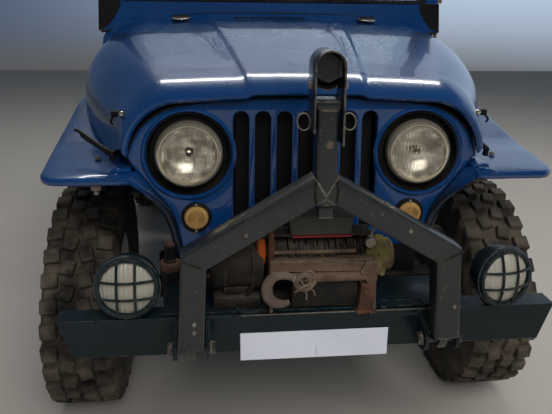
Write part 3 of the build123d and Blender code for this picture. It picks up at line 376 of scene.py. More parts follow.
def paintedSteel(name, base, shade, roughness=0.3, coat=0.0, dust=0.15, dustColour=(150, 140, 125),
                 wear=0.0, flecks=0.0, wearColour=(120, 112, 102), wearRadius=0.004, wearScale=40.0,
                 bump=0.05, grainScale=250.0, metallic=0.0, coatRoughness=0.04, patchScale=3.0, specular=0.5):
    # Paint with slow colour change, dust on top and chips along the edges.
    material, tree, shader = newMaterial(name, {"Metallic": metallic, "Coat Weight": coat,
                                                "Coat Roughness": coatRoughness, "Specular IOR Level": specular})
    grain = groupNode(tree, grainGroup, Scale=grainScale, Coarse=patchScale)
    paint = mixColour(tree, rampNode(tree, grain.outputs["Blotches"], 0.3, 0.7), colour(*base), colour(*shade))
    rough = mathNode(tree, "ADD", mathNode(tree, "MULTIPLY", grain.outputs["Blotches"], 0.2), roughness - 0.1)
    if wear or flecks:
        chips = groupNode(tree, wearGroup, Radius=wearRadius, Amount=wear, Flecks=flecks, Scale=wearScale)
        paint = mixColour(tree, chips.outputs["Mask"], paint, colour(*wearColour))
        rough = mathNode(tree, "ADD", rough, mathNode(tree, "MULTIPLY", chips.outputs["Mask"], 0.3))
    if dust:
        film = groupNode(tree, dustGroup, Amount=dust, Scale=5.0)
        paint = mixColour(tree, film.outputs["Mask"], paint, colour(*dustColour))
        rough = mathNode(tree, "ADD", rough, mathNode(tree, "MULTIPLY", film.outputs["Mask"], 0.5), True)
    tree.links.new(paint, shader.inputs["Base Color"])
    tree.links.new(rough, shader.inputs["Roughness"])
    relief = addNode(tree, "ShaderNodeBump", {"Height": grain.outputs["Height"], "Strength": bump, "Distance": 0.001})
    tree.links.new(relief.outputs[0], shader.inputs["Normal"])
    return material


bluePaint = paintedSteel("blue_paint_finish", (6, 46, 92), (9, 54, 102), roughness=0.26, coat=0.75, dust=0.05,
                         dustColour=(110, 124, 142), bump=0.0, grainScale=90.0, coatRoughness=0.03)
tealBlack = paintedSteel("teal_black_finish", (10, 27, 32), (7, 19, 23), roughness=0.42, coat=0.12, dust=0.12,
                         dustColour=(90, 94, 92), wear=0.5, flecks=0.35, wearColour=(104, 104, 100), bump=0.12,
                         specular=0.3)
# the bar's wide pale edge wear is partly real chipping, partly a painted highlight along the tubes' edges
barPaint = paintedSteel("tow_bar_finish", (32, 35, 36), (22, 26, 28), roughness=0.32, coat=0.25, dust=0.12,
                        specular=0.5, wearRadius=0.006,
                        wear=0.9, flecks=0.5, wearColour=(132, 124, 112), bump=0.25, grainScale=180.0)
blackSteel = paintedSteel("black_steel_finish", (18, 18, 19), (12, 12, 13), roughness=0.6, dust=0.3, specular=0.3,
                          dustColour=(98, 88, 76), wear=0.3, flecks=0.15, wearColour=(96, 74, 58), bump=0.3)
rustySteel = paintedSteel("rusty_steel_finish", (92, 60, 42), (52, 38, 32), roughness=0.75, dust=0.2,
                          wear=0.4, flecks=0.6, wearColour=(132, 84, 52), bump=0.8, patchScale=18.0, grainScale=400.0)
winchSteel = paintedSteel("winch_finish", (34, 31, 28), (22, 21, 20), roughness=0.6, dust=0.2, specular=0.3,
                          wear=0.6, flecks=0.4, wearColour=(120, 98, 78), bump=0.5, patchScale=14.0)
engineIron = paintedSteel("engine_finish", (52, 50, 48), (34, 33, 33), roughness=0.7, dust=0.4, bump=0.8)
wheelPaint = paintedSteel("wheel_finish", (196, 194, 188), (178, 176, 170), roughness=0.35, coat=0.4, dust=0.35,
                          wear=0.4, flecks=0.1, wearColour=(90, 84, 78), bump=0.1)
plateWhite = paintedSteel("plate_finish", (214, 216, 226), (200, 202, 212), roughness=0.4, dust=0.2, bump=0.1)
blackPlastic = paintedSteel("black_plastic_finish", (16, 16, 17), (10, 10, 11), roughness=0.45, dust=0.1, bump=0.2,
                            specular=0.35)
amberLens = paintedSteel("amber_lens_finish", (150, 114, 62), (172, 138, 84), roughness=0.2, coat=0.8, dust=0.1,
                         bump=0.05)
brightRing = paintedSteel("bright_ring_finish", (222, 212, 192), (192, 180, 158), roughness=0.22, metallic=0.85,
                          dust=0.05, bump=0.05)


def makePaintedShadeBlue(low, high):
    # blue paint with painted shade: between the two heights it goes dull and dark downwards, on the strip from the
    # grille down to the frame, where shade falls
    material, tree, shader = newMaterial("painted_shade_blue_finish", {"Coat Weight": 0.6, "Coat Roughness": 0.05})
    place = addNode(tree, "ShaderNodeTexCoord").outputs["Object"]
    height = addNode(tree, "ShaderNodeSeparateXYZ", {"Vector": place}).outputs["Z"]
    tree.links.new(mixColour(tree, rampNode(tree, height, low, high), colour(12, 20, 32), colour(6, 46, 92)),
                   shader.inputs["Base Color"])
    grain = groupNode(tree, grainGroup, Scale=90.0, Coarse=3.0)
    tree.links.new(mathNode(tree, "ADD", mathNode(tree, "MULTIPLY", grain.outputs["Blotches"], 0.2), 0.16),
                   shader.inputs["Roughness"])
    return material


paintedShadeBlue = makePaintedShadeBlue(0.83, 0.915)


# Rubber with blotches of dust spread by noise.
def makeRubber(name, base, dusty, amount=0.8):
    # Rubber, darker in the deep parts and dusty where it meets the ground.
    material, tree, shader = newMaterial(name, {"Specular IOR Level": 0.35})
    grain = groupNode(tree, grainGroup, Scale=320.0, Coarse=9.0)
    film = mathNode(tree, "MULTIPLY", rampNode(tree, grain.outputs["Blotches"], 0.3, 0.72), amount)
    paint = mixColour(tree, film, colour(*base), colour(*dusty))
    tree.links.new(paint, shader.inputs["Base Color"])
    tree.links.new(mathNode(tree, "ADD", mathNode(tree, "MULTIPLY", film, 0.2), 0.62), shader.inputs["Roughness"])
    relief = addNode(tree, "ShaderNodeBump", {"Height": grain.outputs["Height"], "Strength": 0.4, "Distance": 0.001})
    tree.links.new(relief.outputs[0], shader.inputs["Normal"])
    return material


tyreRubber = makeRubber("tyre_finish", (28, 27, 25), (104, 94, 80))
sealRubber = makeRubber("seal_finish", (20, 20, 21), (52, 50, 48), 0.5)


def makeGlass(name, tint, roughness=0.02, weight=1.0, flutes=0.0):
    # flutes are upright ribs that break up what is seen through the lens
    material, tree, shader = newMaterial(name, {"Transmission Weight": weight, "IOR": 1.45, "Roughness": roughness})
    if flutes:
        place = addNode(tree, "ShaderNodeTexCoord").outputs["Object"]
        ribs = addNode(tree, "ShaderNodeTexWave", {"Vector": place, "Scale": flutes, "Distortion": 0.6,
                                                   "Detail": 1.0}, bands_direction="X")
        relief = addNode(tree, "ShaderNodeBump", {"Height": ribs.outputs["Fac"], "Strength": 0.7, "Distance": 0.0015})
        tree.links.new(relief.outputs[0], shader.inputs["Normal"])
    grain = groupNode(tree, grainGroup, Scale=60.0, Coarse=3.0)
    tree.links.new(mixColour(tree, grain.outputs["Blotches"], colour(*tint), colour(*[v * 0.97 for v in tint])),
                   shader.inputs["Base Color"])
    return material


lampGlass = makeGlass("lamp_glass_finish", (246, 240, 224))
windowGlass = makeGlass("window_glass_finish", (236, 244, 244), 0.01)


def makeReflector():
    # silvered bowl seen through a pressed lens, with painted reflections: upright ribs and soft blocks of light and
    # dark in its colour
    material, tree, shader = newMaterial("reflector_painted_glints_finish", {"Metallic": 0.35, "Coat Weight": 0.4})
    place = addNode(tree, "ShaderNodeTexCoord").outputs["Object"]
    ribs = addNode(tree, "ShaderNodeTexWave", {"Vector": place, "Scale": 52.0, "Distortion": 3.0, "Detail": 2.0},
                   bands_direction="X")
    blocks = noiseNode(tree, place, 34.0, 2.0, 0.5)
    light = mathNode(tree, "ADD", mathNode(tree, "MULTIPLY", ribs.outputs["Fac"], 0.35),
                     mathNode(tree, "MULTIPLY", rampNode(tree, blocks, 0.38, 0.62), 0.75), True)
    tree.links.new(mixColour(tree, light, colour(150, 142, 134), colour(255, 252, 246)), shader.inputs["Base Color"])
    tree.links.new(mathNode(tree, "ADD", mathNode(tree, "MULTIPLY", blocks, 0.2), 0.15), shader.inputs["Roughness"])
    return material


reflectorFinish = makeReflector()
lensGlass = makeGlass("lens_glass_finish", (250, 246, 236), 0.05, flutes=42.0)
fogGlass = makeGlass("fog_glass_finish", (226, 220, 204), 0.18, 0.6, 30.0)
brightBolt = paintedSteel("bolt_finish", (150, 144, 134), (104, 92, 80), roughness=0.4, metallic=0.6, dust=0.1,
                          bump=0.3, patchScale=30.0)
vinyl = paintedSteel("seat_vinyl_finish", (30, 30, 32), (22, 22, 24), roughness=0.5, dust=0.15, bump=0.5,
                     grainScale=380.0)

slotFinish = {
    "black_steel": blackSteel, "teal_black_paint": tealBlack, "rusty_steel": rustySteel, "winch_steel": winchSteel,
    "bright_ring": brightRing, "lamp_glass": lampGlass, "amber_lens": amberLens, "plate_white": plateWhite,
    "blue_paint": bluePaint, "seat_vinyl": vinyl, "engine_iron": engineIron, "window_glass": windowGlass,
    "black_plastic": blackPlastic, "bar_paint": barPaint, "wheel_paint": wheelPaint, "tyre_rubber": tyreRubber,
}
for name, obj in nodes.items():
    obj.data.materials.clear()
    obj.data.materials.append(slotFinish[slotOf[name]])
oliveSteel = paintedSteel("olive_steel_finish", (124, 112, 66), (66, 54, 40), roughness=0.7, dust=0.2, wear=0.4,
                          flecks=0.6, wearColour=(150, 132, 96), bump=0.8, patchScale=26.0, grainScale=400.0)
brownSteel = paintedSteel("brown_steel_finish", (98, 82, 64), (72, 50, 40), roughness=0.6, dust=0.15, wear=0.6,
                          flecks=0.3, wearColour=(148, 132, 112), bump=0.5, patchScale=16.0)
forgedSteel = paintedSteel("forged_steel_finish", (102, 88, 78), (74, 60, 52), roughness=0.55, dust=0.1, wear=0.6,
                           flecks=0.2, wearColour=(176, 158, 144), bump=0.4, patchScale=20.0)
boxGrey = paintedSteel("control_box_finish", (54, 52, 46), (44, 42, 38), roughness=0.5, dust=0.25, bump=0.2)
redEdge = paintedSteel("red_edge_finish", (128, 26, 40), (92, 22, 32), roughness=0.5, dust=0.1, bump=0.2)
orangeBoot = paintedSteel("orange_boot_finish", (176, 84, 30), (146, 66, 24), roughness=0.5, dust=0.12, bump=0.3)
print("materials made:", len(slotFinish) + 6)

def ringLoft(rings, closed=False, capped=True):
    # rings of equal length joined in order, with a fan on each end
    rings = np.asarray(rings, float)
    rows, count = rings.shape[:2]
    points = rings.reshape(-1, 3)
    quads = gridQuads(rows, count, closeRows=closed, closeCols=True)
    if capped and not closed:
        ring = np.arange(count)
        following = (ring + 1) % count
        last, tip = (rows - 1) * count, len(points)
        first = np.stack([ring * 0 + tip, following, ring, ring * 0 + tip], -1)
        final = np.stack([ring * 0 + tip + 1, ring + last, following + last, ring * 0 + tip + 1], -1)
        points = np.concatenate([points, rings[[0, -1]].mean(axis=1)])
        quads = np.concatenate([quads, first, final])
    return points, quads


def roundedSquare(half, radius, steps=3, halfDeep=None):
    # outline of a square tube: four quarter arcs in the corners
    deep = half if halfDeep is None else halfDeep
    quarter = np.linspace(0, math.pi / 2, steps + 1)
    angle = np.concatenate([quarter + k * math.pi / 2 for k in range(4)])
    signs = np.repeat([[1, 1], [-1, 1], [-1, -1], [1, -1]], steps + 1, axis=0)
    return signs * (np.array([half, deep]) - radius) + radius * np.stack([np.cos(angle), np.sin(angle)], -1)


def mitredTube(corners, y, profile):
    # square tube along a bent line in the front view, mitred where it bends
    corners = np.asarray(corners, float)
    along = np.diff(corners, axis=0)
    along /= np.linalg.norm(along, axis=1, keepdims=True)
    across = np.stack([-along[:, 1], along[:, 0]], -1)
    before, after = np.concatenate([across[:1], across]), np.concatenate([across, across[-1:]])
    mitre = (before + after) / (1 + (before * after).sum(axis=1, keepdims=True))
    flat = corners[:, None] + mitre[:, None] * profile[None, :, :1]
    depth = y + np.broadcast_to(profile[None, :, 1], flat.shape[:2])
    return ringLoft(np.stack([flat[..., 0], depth, flat[..., 1]], -1))


def thicken(piece, thickness):
    shell = piece.modifiers.new("sheet", "SOLIDIFY")
    shell.thickness = thickness / 1000
    shell.offset = 0
    return piece


def roundEdges(piece, width, segments=2, angle=35):
    bevel = piece.modifiers.new("edges", "BEVEL")
    bevel.width = width / 1000
    bevel.segments = segments
    bevel.limit_method = "ANGLE"
    bevel.angle_limit = math.radians(angle)
    bevel.harden_normals = True
    return piece


# Hood
hoodSettings = {
    # (station, half width, crown, shoulder radius)
    "widths": [(-455, 508, 10, 150), (-330, 548, 10, 160), (-60, 660, 10, 185), (230, 733, 9, 215),
               (500, 745, 8, 240)],
    # (station, height of the top) with the roll of the nose
    "profile": [(-455, 1143), (-440, 1156), (-415, 1169), (-380, 1181), (-330, 1191), (-200, 1216), (85, 1262),
                (300, 1290), (500, 1311)],
    "panelEdge": [(-455, 161), (435, 272)], "panelHeight": 9, "creaseWidth": 26, "panelEnd": 440,
    "lip": [(-459, 4), (-459, 9), (-455, 13), (-446, 15)],
    # lower edge (station, height) where it rises from the fender to the nose
    "frontEdge": [(-475, 996), (-285, 946)], "sheet": 4, "fenderGap": 8,
}
fenderSettings = {
    # (station, height) of the top in side view
    "line": [(-505, 920), (-455, 925), (-300, 938), (-200, 945), (-100, 966), (30, 993), (147, 1020), (300, 1036),
             (430, 1040)],
    # (distance from the front edge, half width)
    "outline": [(0, 724), (285, 748.3)],
    "frontEdge": -485, "rearEdge": 505.5, "inner": 487, "corner": 58, "roll": 9, "skirt": 17, "bottom": 561,
    "sheet": 3,
    "apron": [(342, 640), (352, 680), (364, 718), (382, 762), (405, 810), (440, 845), (487, 872), (487.5, 940),
              (487.5, 1040)],
    # neck beside the grille: (x, y, z) of its inner edge and of its outer, lower edge
    "neckInner": [(548, -473, 921), (520, -470, 928), (488, -455, 927), (468, -436, 921), (444, -433, 893),
                  (419, -432, 862),
                  (391, -432, 828), (373, -432, 798), (362, -432, 765), (352, -432, 720), (344, -432, 672)],
    "neckOuter": [(548, -482, 913), (530, -485, 917), (503, -482, 911), (480, -476, 896), (460, -468, 878),
                  (440, -458, 856),
                  (416, -448, 826), (398, -442, 794), (386, -438, 760), (374, -436, 716), (364, -434, 670)],
    "pad": ((486, 538), (-452, -345), (900, 935)),
}
fenderCurve = smoothPath(fenderSettings["line"], 8)


def fenderTop(y):
    return np.interp(y, fenderCurve[:, 0], fenderCurve[:, 1])


def smoothValues(table, at, samples=14):
    # smooth curve through the rows of a table, read at the given stations
    curve = smoothPath(np.array(table, float), samples)
    return [np.interp(at, curve[:, 0], curve[:, k]) for k in range(1, curve.shape[1])]


def hoodPart():
    # each section goes up the side, round the shoulder and over the crowned top, where height falls
    # with the square of the distance from the middle; the middle panel stands up by a smooth step
    given = hoodSettings
    y = np.concatenate([[row[0] for row in given["lip"]][::-1], np.linspace(-455, -300, 22),
                        np.linspace(-285, 500, 44)])
    inset = np.concatenate([[row[1] for row in given["lip"]][::-1], np.zeros(66)])
    station = np.maximum(y, -455)
    halfWidth, crown, radius = smoothValues(given["widths"], station)
    top, = smoothValues(given["profile"], station)
    halfWidth, top = halfWidth - inset, top - inset
    edge = np.interp(station, *zip(*given["panelEdge"]))
    low = np.maximum(fenderTop(station) + given["fenderGap"], np.interp(station, *zip(*given["frontEdge"]), right=0))
    flat = halfWidth - radius
    step = given["creaseWidth"] / 2
    shares = [np.linspace(0, 1, 12, endpoint=False), np.linspace(0, 1, 9, endpoint=False), np.linspace(0, 1, 16)]
    limits = [(0 * edge, edge - step), (edge - step, edge + step), (edge + step, flat)]
    across = np.concatenate([a[:, None] + (b - a)[:, None] * share for (a, b), share in zip(limits, shares)], 1)
    fade = np.clip((given["panelEnd"] - y) / 60, 0, 1)[:, None]
    t = np.clip((edge[:, None] + step - across) / (2 * step), 0, 1)
    raised = given["panelHeight"] * t * t * (3 - 2 * t) * fade
    topZ = top[:, None] - crown[:, None] * (across / flat[:, None]) ** 2 + raised
    turn = np.linspace(0, math.pi / 2, 15)[1:]
    shoulderX = flat[:, None] + radius[:, None] * np.sin(turn)
    shoulderZ = (top - crown - radius)[:, None] + radius[:, None] * np.cos(turn)
    down = np.linspace(0, 1, 9)[1:]
    sideTop = top - crown - radius
    sideZ = sideTop[:, None] + (low - sideTop)[:, None] * down
    sideX = halfWidth[:, None] + 0 * sideZ
    halfX = np.concatenate([across, shoulderX, sideX], 1)
    halfZ = np.concatenate([topZ, shoulderZ, sideZ], 1)
    x = np.concatenate([-halfX[:, :0:-1], halfX], 1)
    z = np.concatenate([halfZ[:, :0:-1], halfZ], 1)
    points = np.stack([x, y[:, None] + 0 * x, z], -1)
    rows, cols = x.shape
    return points.reshape(-1, 3), gridQuads(rows, cols)[:, ::-1]


def fenderPart():
    # the sheet is laid out flat as (across, along the side view's curve), and its rim is rolled
    # down by a quarter circle and a skirt, always square to that curve
    given = fenderSettings
    tops = [(y, float(fenderTop(y))) for y in np.linspace(given["frontEdge"], given["line"][-1][0], 16)]
    rearY = given["rearEdge"]
    bend = [(rearY - 44, 1032), (rearY - 19, 1016), (rearY - 5, 996), (rearY, 968), (rearY, 880), (rearY, 720),
            (rearY, given["bottom"])]
    curve = smoothPath(tops + bend, 8)
    length = np.concatenate([[0], np.cumsum(np.linalg.norm(np.diff(curve, axis=0), axis=1))])
    slope = np.gradient(curve, length, axis=0)
    slope /= np.linalg.norm(slope, axis=1, keepdims=True)
    total, corner, roll = length[-1], given["corner"], given["roll"]
    theta = np.linspace(0, math.pi / 2, 13)[1:]
    outer = np.interp(corner, *zip(*given["outline"]))
    frontX = np.linspace(given["inner"], outer - corner, 10)
    along = np.linspace(corner, total, 74)[1:]
    rimX = np.concatenate([frontX, outer - corner + corner * np.sin(theta),
                           np.interp(along, *zip(*given["outline"]))])
    rimP = np.concatenate([0 * frontX, corner - corner * np.cos(theta), along])
    outX = np.concatenate([0 * frontX, np.sin(theta), 0 * along + 1])
    outP = np.concatenate([0 * frontX - 1, -np.cos(theta), 0 * along])
    ahead = len(frontX) + len(theta)
    innerP = np.concatenate([np.linspace(roll, 150, ahead),
                             150 + (along - corner) / (total - corner) * (total - 150)])
    share = np.linspace(0, 1, 10)
    startX, startP = rimX - outX * roll, rimP - outP * roll
    x = given["inner"] + (startX - given["inner"])[:, None] * share
    p = innerP[:, None] + (startP - innerP)[:, None] * share
    crown = 5 * (share ** 2)[None, :] + 0 * x
    turn = np.linspace(0, math.pi / 2, 7)[1:]
    offset = np.concatenate([roll * (np.sin(turn) - 1), [0, 0, -1, -5, -9]])
    deep = np.concatenate([roll * (1 - np.cos(turn)),
                           [given["skirt"] * 0.6, given["skirt"] - 3, given["skirt"], given["skirt"] + 2,
                            given["skirt"]]]) + 5
    x = np.concatenate([x, rimX[:, None] + outX[:, None] * offset], 1)
    p = np.concatenate([p, rimP[:, None] + outP[:, None] * offset], 1)
    d = np.concatenate([crown, 0 * outX[:, None] + deep], 1)
    y = np.interp(p, length, curve[:, 0]) + d * np.interp(p, length, slope[:, 1])
    z = np.interp(p, length, curve[:, 1]) - d * np.interp(p, length, slope[:, 0])
    rows, cols = x.shape
    shell = np.stack([x, y, z], -1).reshape(-1, 3), gridQuads(rows, cols)
    wall = smoothPath(given["apron"], 5)
    stationY = np.linspace(-399, given["rearEdge"], 40)
    wallZ = np.minimum(wall[None, :, 1] + 0 * stationY[:, None], fenderTop(stationY)[:, None] - 2)
    wallX = wall[None, :, 0] + 0 * wallZ
    apron = np.stack([wallX, stationY[:, None] + 0 * wallX, wallZ], -1).reshape(-1, 3), gridQuads(*wallX.shape)
    inner, edge = smoothPath(given["neckInner"], 5), smoothPath(given["neckOuter"], 5)
    across = np.array([0, 0.15, 0.35, 0.6, 0.85, 1.0])[:, None, None]
    bulge = 5 * np.sin(math.pi * across) * np.array([0, -1, 0.3])
    strip = inner + (edge - inner) * across + bulge
    fold = edge + np.array([[0, 0, 0], [0, 10, -2], [0, 22, -2]])[1:, None]
    neck = np.concatenate([strip, fold]).reshape(-1, 3), gridQuads(len(across) + 2, len(edge))
    return joined(shell, apron), neck


hood = addPiece("hood_panel", hoodPart(), bluePaint, "hood", ["hood"], closedShape=False)
thicken(hood, hoodSettings["sheet"])
panel, neck = fenderPart()
for side, part in (("left", panel), ("right", mirrored(panel))):
    piece = addPiece("fender_panel_" + side, part, bluePaint, "chassis", ["fender_" + side], closedShape=False)
    thicken(piece, fenderSettings["sheet"])
# the necks carry painted shade: their blue darkens downwards
necks = addPiece("fender_necks", joined(neck, mirrored(neck)), paintedShadeBlue, "chassis", closedShape=False,
                 slotName="blue_paint")
thicken(necks, fenderSettings["sheet"])
pad = roundBox(*fenderSettings["pad"], 7, 3)
addPiece("fender_pads", joined(pad, mirrored(pad)), bluePaint, "chassis", slotName="blue_paint")
print("hood and fenders made")

# Hood hinges and their plates
hoodTrimSettings = {
    "hingeX": 392, "hingeY": 500, "hingeZ": 1318, "leafHalf": 38, "slope": 8.5,
}


def hoodHingePart(x):
    # dark block on the hood's rear edge, over a bright plate that narrows to a rounded point
    given = hoodTrimSettings
    y, z, half = given["hingeY"], given["hingeZ"], given["leafHalf"]
    block = moved(moved(roundBox((-half + 2, half - 2), (-26, -3), (-3, 9), 2), (0, 0, 0), (given["slope"], "X")),
                  (x, y, z + 1))
    barrels = [straightTube((x + a, y, z), (x + b, y, z), 6, 16) for a, b in ((-38, -31), (31, 38))]
    bolts = [moved(hexBolt((0, 0, 0), "Z", 9, 5, 7), (x + dx, y - 14, z + 9)) for dx in (-22, 0, 22)]
    ring = smoothPath([(-half, -4), (-half, -30), (-half * 0.7, -52), (0, -72), (half * 0.7, -52), (half, -30),
                       (half, -4)], 4)
    levels = [(0.94, -2.5), (1.0, -1.5), (1.0, 2.0), (0.94, 3.0)]
    plate = ringLoft([np.column_stack([ring * share, np.full(len(ring), level)]) for share, level in levels])
    plate = moved(moved(plate, (0, 0, 0), (given["slope"], "X")), (x, y, z + 4))
    screws = [moved(turnedPart([(0, 4), (3, 4), (4, 2), (4, 0), (0, 0)], (0, 0, 0), "Z", 12),
                    (x + dx, y + dy, z + 4 + dy * 0.15))
              for dx, dy in ((-20, -38), (20, -38), (0, -58))]
    return joined(block, *barrels, *bolts), joined(plate, *screws)


blocks, plates = zip(*[hoodHingePart(side * hoodTrimSettings["hingeX"]) for side in (-1, 1)])
addPiece("hood_hinges", joined(*blocks), blackSteel, "hood", slotName="black_steel")
addPiece("hood_hinge_plates", joined(*plates), brightRing, "hood", slotName="bright_ring")

# Grille: flat panel with seven slots and two lamp holes, all with rolled edges
grilleSettings = {
    "outline": [(0, 1126), (160, 1124), (290, 1116), (388, 1092), (458, 1045), (492, 980), (487, 941), (409, 822),
                (362, 745), (351, 704), (344, 690), (262, 688), (232, 712), (200, 720), (0, 720)],
    "face": -430, "depth": 30, "edge": 5, "slots": 7, "pitch": 61, "slotWidth": 43, "slotTop": 1088,
    "slotHeight": 350,
    "lampX": 329, "lampZ": 968, "bowl": 118, "lipWidth": 15, "lipHeight": 6,
}


def mirroredLine(half):
    half = np.asarray(half, float)
    back = half[::-1] * np.array([-1, 1])
    return np.concatenate([half, back[np.abs(back[:, 0]) > 1e-6]])


def flatShape(outlines, name, middle, depth, edge):
    # filled curve with holes in the front view, rolled round its edges by the curve's own bevel
    curve = bpy.data.curves.new(name, "CURVE")
    curve.dimensions = "2D"
    curve.fill_mode = "BOTH"
    curve.extrude = (depth / 2 - edge) / 1000
    curve.bevel_depth = edge / 1000
    curve.bevel_resolution = 3
    curve.offset = -edge / 1000
    for outline in outlines:
        spline = curve.splines.new("POLY")
        spline.points.add(len(outline) - 1)
        flat = np.zeros((len(outline), 4))
        flat[:, :2], flat[:, 3] = np.asarray(outline) / 1000, 1
        spline.points.foreach_set("co", flat.ravel())
        spline.use_cyclic_u = True
    holder = bpy.data.objects.new(name, curve)
    bpy.context.scene.collection.objects.link(holder)
    mesh = bpy.data.meshes.new_from_object(holder.evaluated_get(bpy.context.evaluated_depsgraph_get()))
    bpy.data.objects.remove(holder)
    bpy.data.curves.remove(curve)
    shift = np.array([0, middle / 1000, 0]) + axleShift
    mesh.transform(Matrix.Translation(shift.tolist()) @ Matrix.Rotation(math.radians(90), 4, "X"))
    return mesh


def grilleOutlines():
    given = grilleSettings
    half = smoothPath(given["outline"], 5)
    outline = mirroredLine(half)
    holes = []
    radius = given["slotWidth"] / 2
    arc = np.linspace(0, math.pi, 13)
    for i in range(given["slots"]):
        x = (i - (given["slots"] - 1) / 2) * given["pitch"]
        high, low = given["slotTop"] - radius, given["slotTop"] - given["slotHeight"] + radius
        upper = np.stack([x + radius * np.cos(arc), high + radius * np.sin(arc)], -1)
        lower = np.stack([x - radius * np.cos(arc), low - radius * np.sin(arc)], -1)
        holes.append(np.concatenate([upper, lower]))
    around = np.linspace(0, 2 * math.pi, 72, endpoint=False)
    for side in (-1, 1):
        holes.append(np.stack([side * given["lampX"] + given["bowl"] * np.cos(around),
                               given["lampZ"] + given["bowl"] * np.sin(around)], -1))
    return [outline] + holes


def grilleMesh():
    given = grilleSettings
    mesh = flatShape(grilleOutlines(), "grille_panel", given["face"] + given["depth"] / 2, given["depth"],
                     given["edge"])
    lip = [(given["bowl"] + 1, 2), (given["bowl"] + 3, -3), (given["bowl"] + 6, -given["lipHeight"]),
           (given["bowl"] + 10, -given["lipHeight"] * 0.8), (given["bowl"] + given["lipWidth"], 0.3),
           (given["bowl"] + 8, 3)]
    rings = joined(*[turnedPart(lip, (side * given["lampX"], given["face"], given["lampZ"]), "Y", 72,
                                True) for side in (-1, 1)])
    extra = makeMesh("lamp_lips", rings)
    work = bmesh.new()
    work.from_mesh(mesh)
    work.from_mesh(extra)
    bmesh.ops.remove_doubles(work, verts=work.verts, dist=1e-6)
    bmesh.ops.recalc_face_normals(work, faces=work.faces)
    work.to_mesh(mesh)
    work.free()
    bpy.data.meshes.remove(extra)
    mesh.polygons.foreach_set("use_smooth", [True] * len(mesh.polygons))
    mesh.set_sharp_from_angle(angle=math.radians(35))
    return mesh


def addMesh(name, mesh, material, body, replaced=(), slotName=None):
    piece = bpy.data.objects.new(name, mesh)
    bpy.context.scene.collection.objects.link(piece)
    return finishPiece(piece, material, body, replaced, slotName)


addMesh("grille_panel", grilleMesh(), bluePaint, "chassis", ["grille"])


def sealPart():
    # round strip along the grille's outer edge, from one foot to the other
    given = grilleSettings
    half = smoothPath([point for point in given["outline"] if point[1] > 860], 6)
    line = np.concatenate([half[::-1], half[1:] * np.array([-1, 1])])
    path = np.stack([line[:, 0], 0 * line[:, 0] + given["face"] + 12, line[:, 1]], -1)
    return sweptPart(path, circleProfile(8, 10), (0, 1, 0))


addPiece("hood_seal", sealPart(), sealRubber, "chassis", slotName="black_plastic")
print("grille made")

# Lamps in the grille
lampSettings = {"signalX": 309, "signalZ": 786}


def lampPlaces():
    given = grilleSettings
    return [(side * given["lampX"], given["face"], given["lampZ"]) for side in (-1, 1)]


def bothLamps(profile, closed=True, segments=64):
    return joined(*[turnedPart(profile, place, "Y", segments, closed) for place in lampPlaces()])


bowlProfile = [(117.5, 1), (117.5, 50), (70, 52), (70, 40), (92, 30), (96, 10), (99, 24), (108, 26), (113, 20),
               (115, 1)]
ringProfile = [(96, 8), (95, 0), (92, -6), (88, -10), (84, -11.5), (80, -11), (78.5, -8), (79, -4), (86, 2), (90, 8)]
glassProfile = [(0, -28), (20, -27.2), (40, -24.2), (58, -18.8), (70, -13), (78.5, -7), (78.5, -4), (70, -9.5),
                (58, -15.2),
                (40, -20.6), (20, -23.6), (0, -24.4)]
reflectorProfile = [(78, -2), (72, 10), (62, 21), (48, 30), (32, 36), (18, 38.5), (12, 39), (12, 41), (19, 41),
                    (33, 38.5), (50, 32),
                    (64, 23), (74, 11), (80, -2)]
bulbProfile = [(0, 2), (5, 3), (8.5, 8), (9, 14), (7, 22), (7, 40), (0, 40)]
addPiece("headlamp_bowls", bothLamps(bowlProfile), blackPlastic, "chassis", ["headlamp_rings"],
         slotName="black_plastic")
addPiece("headlamp_bright_rings", bothLamps(ringProfile), brightRing, "chassis", slotName="bright_ring")
addPiece("headlamp_reflectors", bothLamps(reflectorProfile), reflectorFinish, "chassis", slotName="bright_ring")
addPiece("headlamp_bulbs", bothLamps(bulbProfile, False, 20), lampGlass, "chassis", slotName="lamp_glass")
addPiece("headlamp_lenses", bothLamps(glassProfile, True), lensGlass, "chassis", ["lamp_glass"])


def signalPart():
    given = lampSettings
    parts = []
    ridges = [(0, -21.5)]
    for radius in range(3, 27, 3):
        ridges += [(radius, -22 + radius * 0.09), (radius + 1.5, -19.4 + radius * 0.09)]
    lens = ridges + [(29, -17), (33, -12), (35.5, -6), (36, 0), (0, 0)]
    for side in (-1, 1):
        parts.append(turnedPart(lens, (side * given["signalX"], grilleSettings["face"], given["signalZ"]), "Y", 48))
    return joined(*parts)


def signalTrimPart():
    given = lampSettings
    rims, screws = [], []
    for side in (-1, 1):
        centre = (side * given["signalX"], grilleSettings["face"], given["signalZ"])
        rims.append(turnedPart([(34, -9), (37.5, -12), (42, -9), (44, 0.5), (34, 0.5)], centre, "Y", 48, True))
        for up in (-1, 1):
            place = (centre[0], centre[1] - 12, centre[2] + up * 38)
            screws.append(turnedPart([(0, -5), (3, -4), (4.5, -1), (4.5, 6), (0, 6)], place, "Y", 14))
    return joined(*rims), joined(*screws)


def tailPart():
    parts = []
    for side in (-1, 1):
        lens = [(0, 31), (30, 30), (36, 24), (40, 10), (42, 0), (0, 0)]
        parts.append(turnedPart(lens, (side * 660, 2680, 900), "Y", 40))
    return joined(*parts)


addPiece("signal_lenses", joined(signalPart(), tailPart()), amberLens, "chassis", ["signal_lamps"], smoothAngle=15)
rims, screws = signalTrimPart()
addPiece("signal_rims", rims, blackPlastic, "chassis", slotName="black_plastic")
addPiece("signal_screws", screws, brightRing, "chassis", slotName="bright_ring")
print("lamps made")

# Fog lamps on the bumper, with guards
fogSettings = {
    # (x, height, degrees turned outwards)
    "lamps": [(-474, 690, 0), (495, 684, 12)], "y": -625, "barRadius": 3.4, "barGap": 22,
}


def fogPlace(part, lamp):
    x, z, turn = lamp
    return moved(part, (x, fogSettings["y"], z), (turn, "Z"))


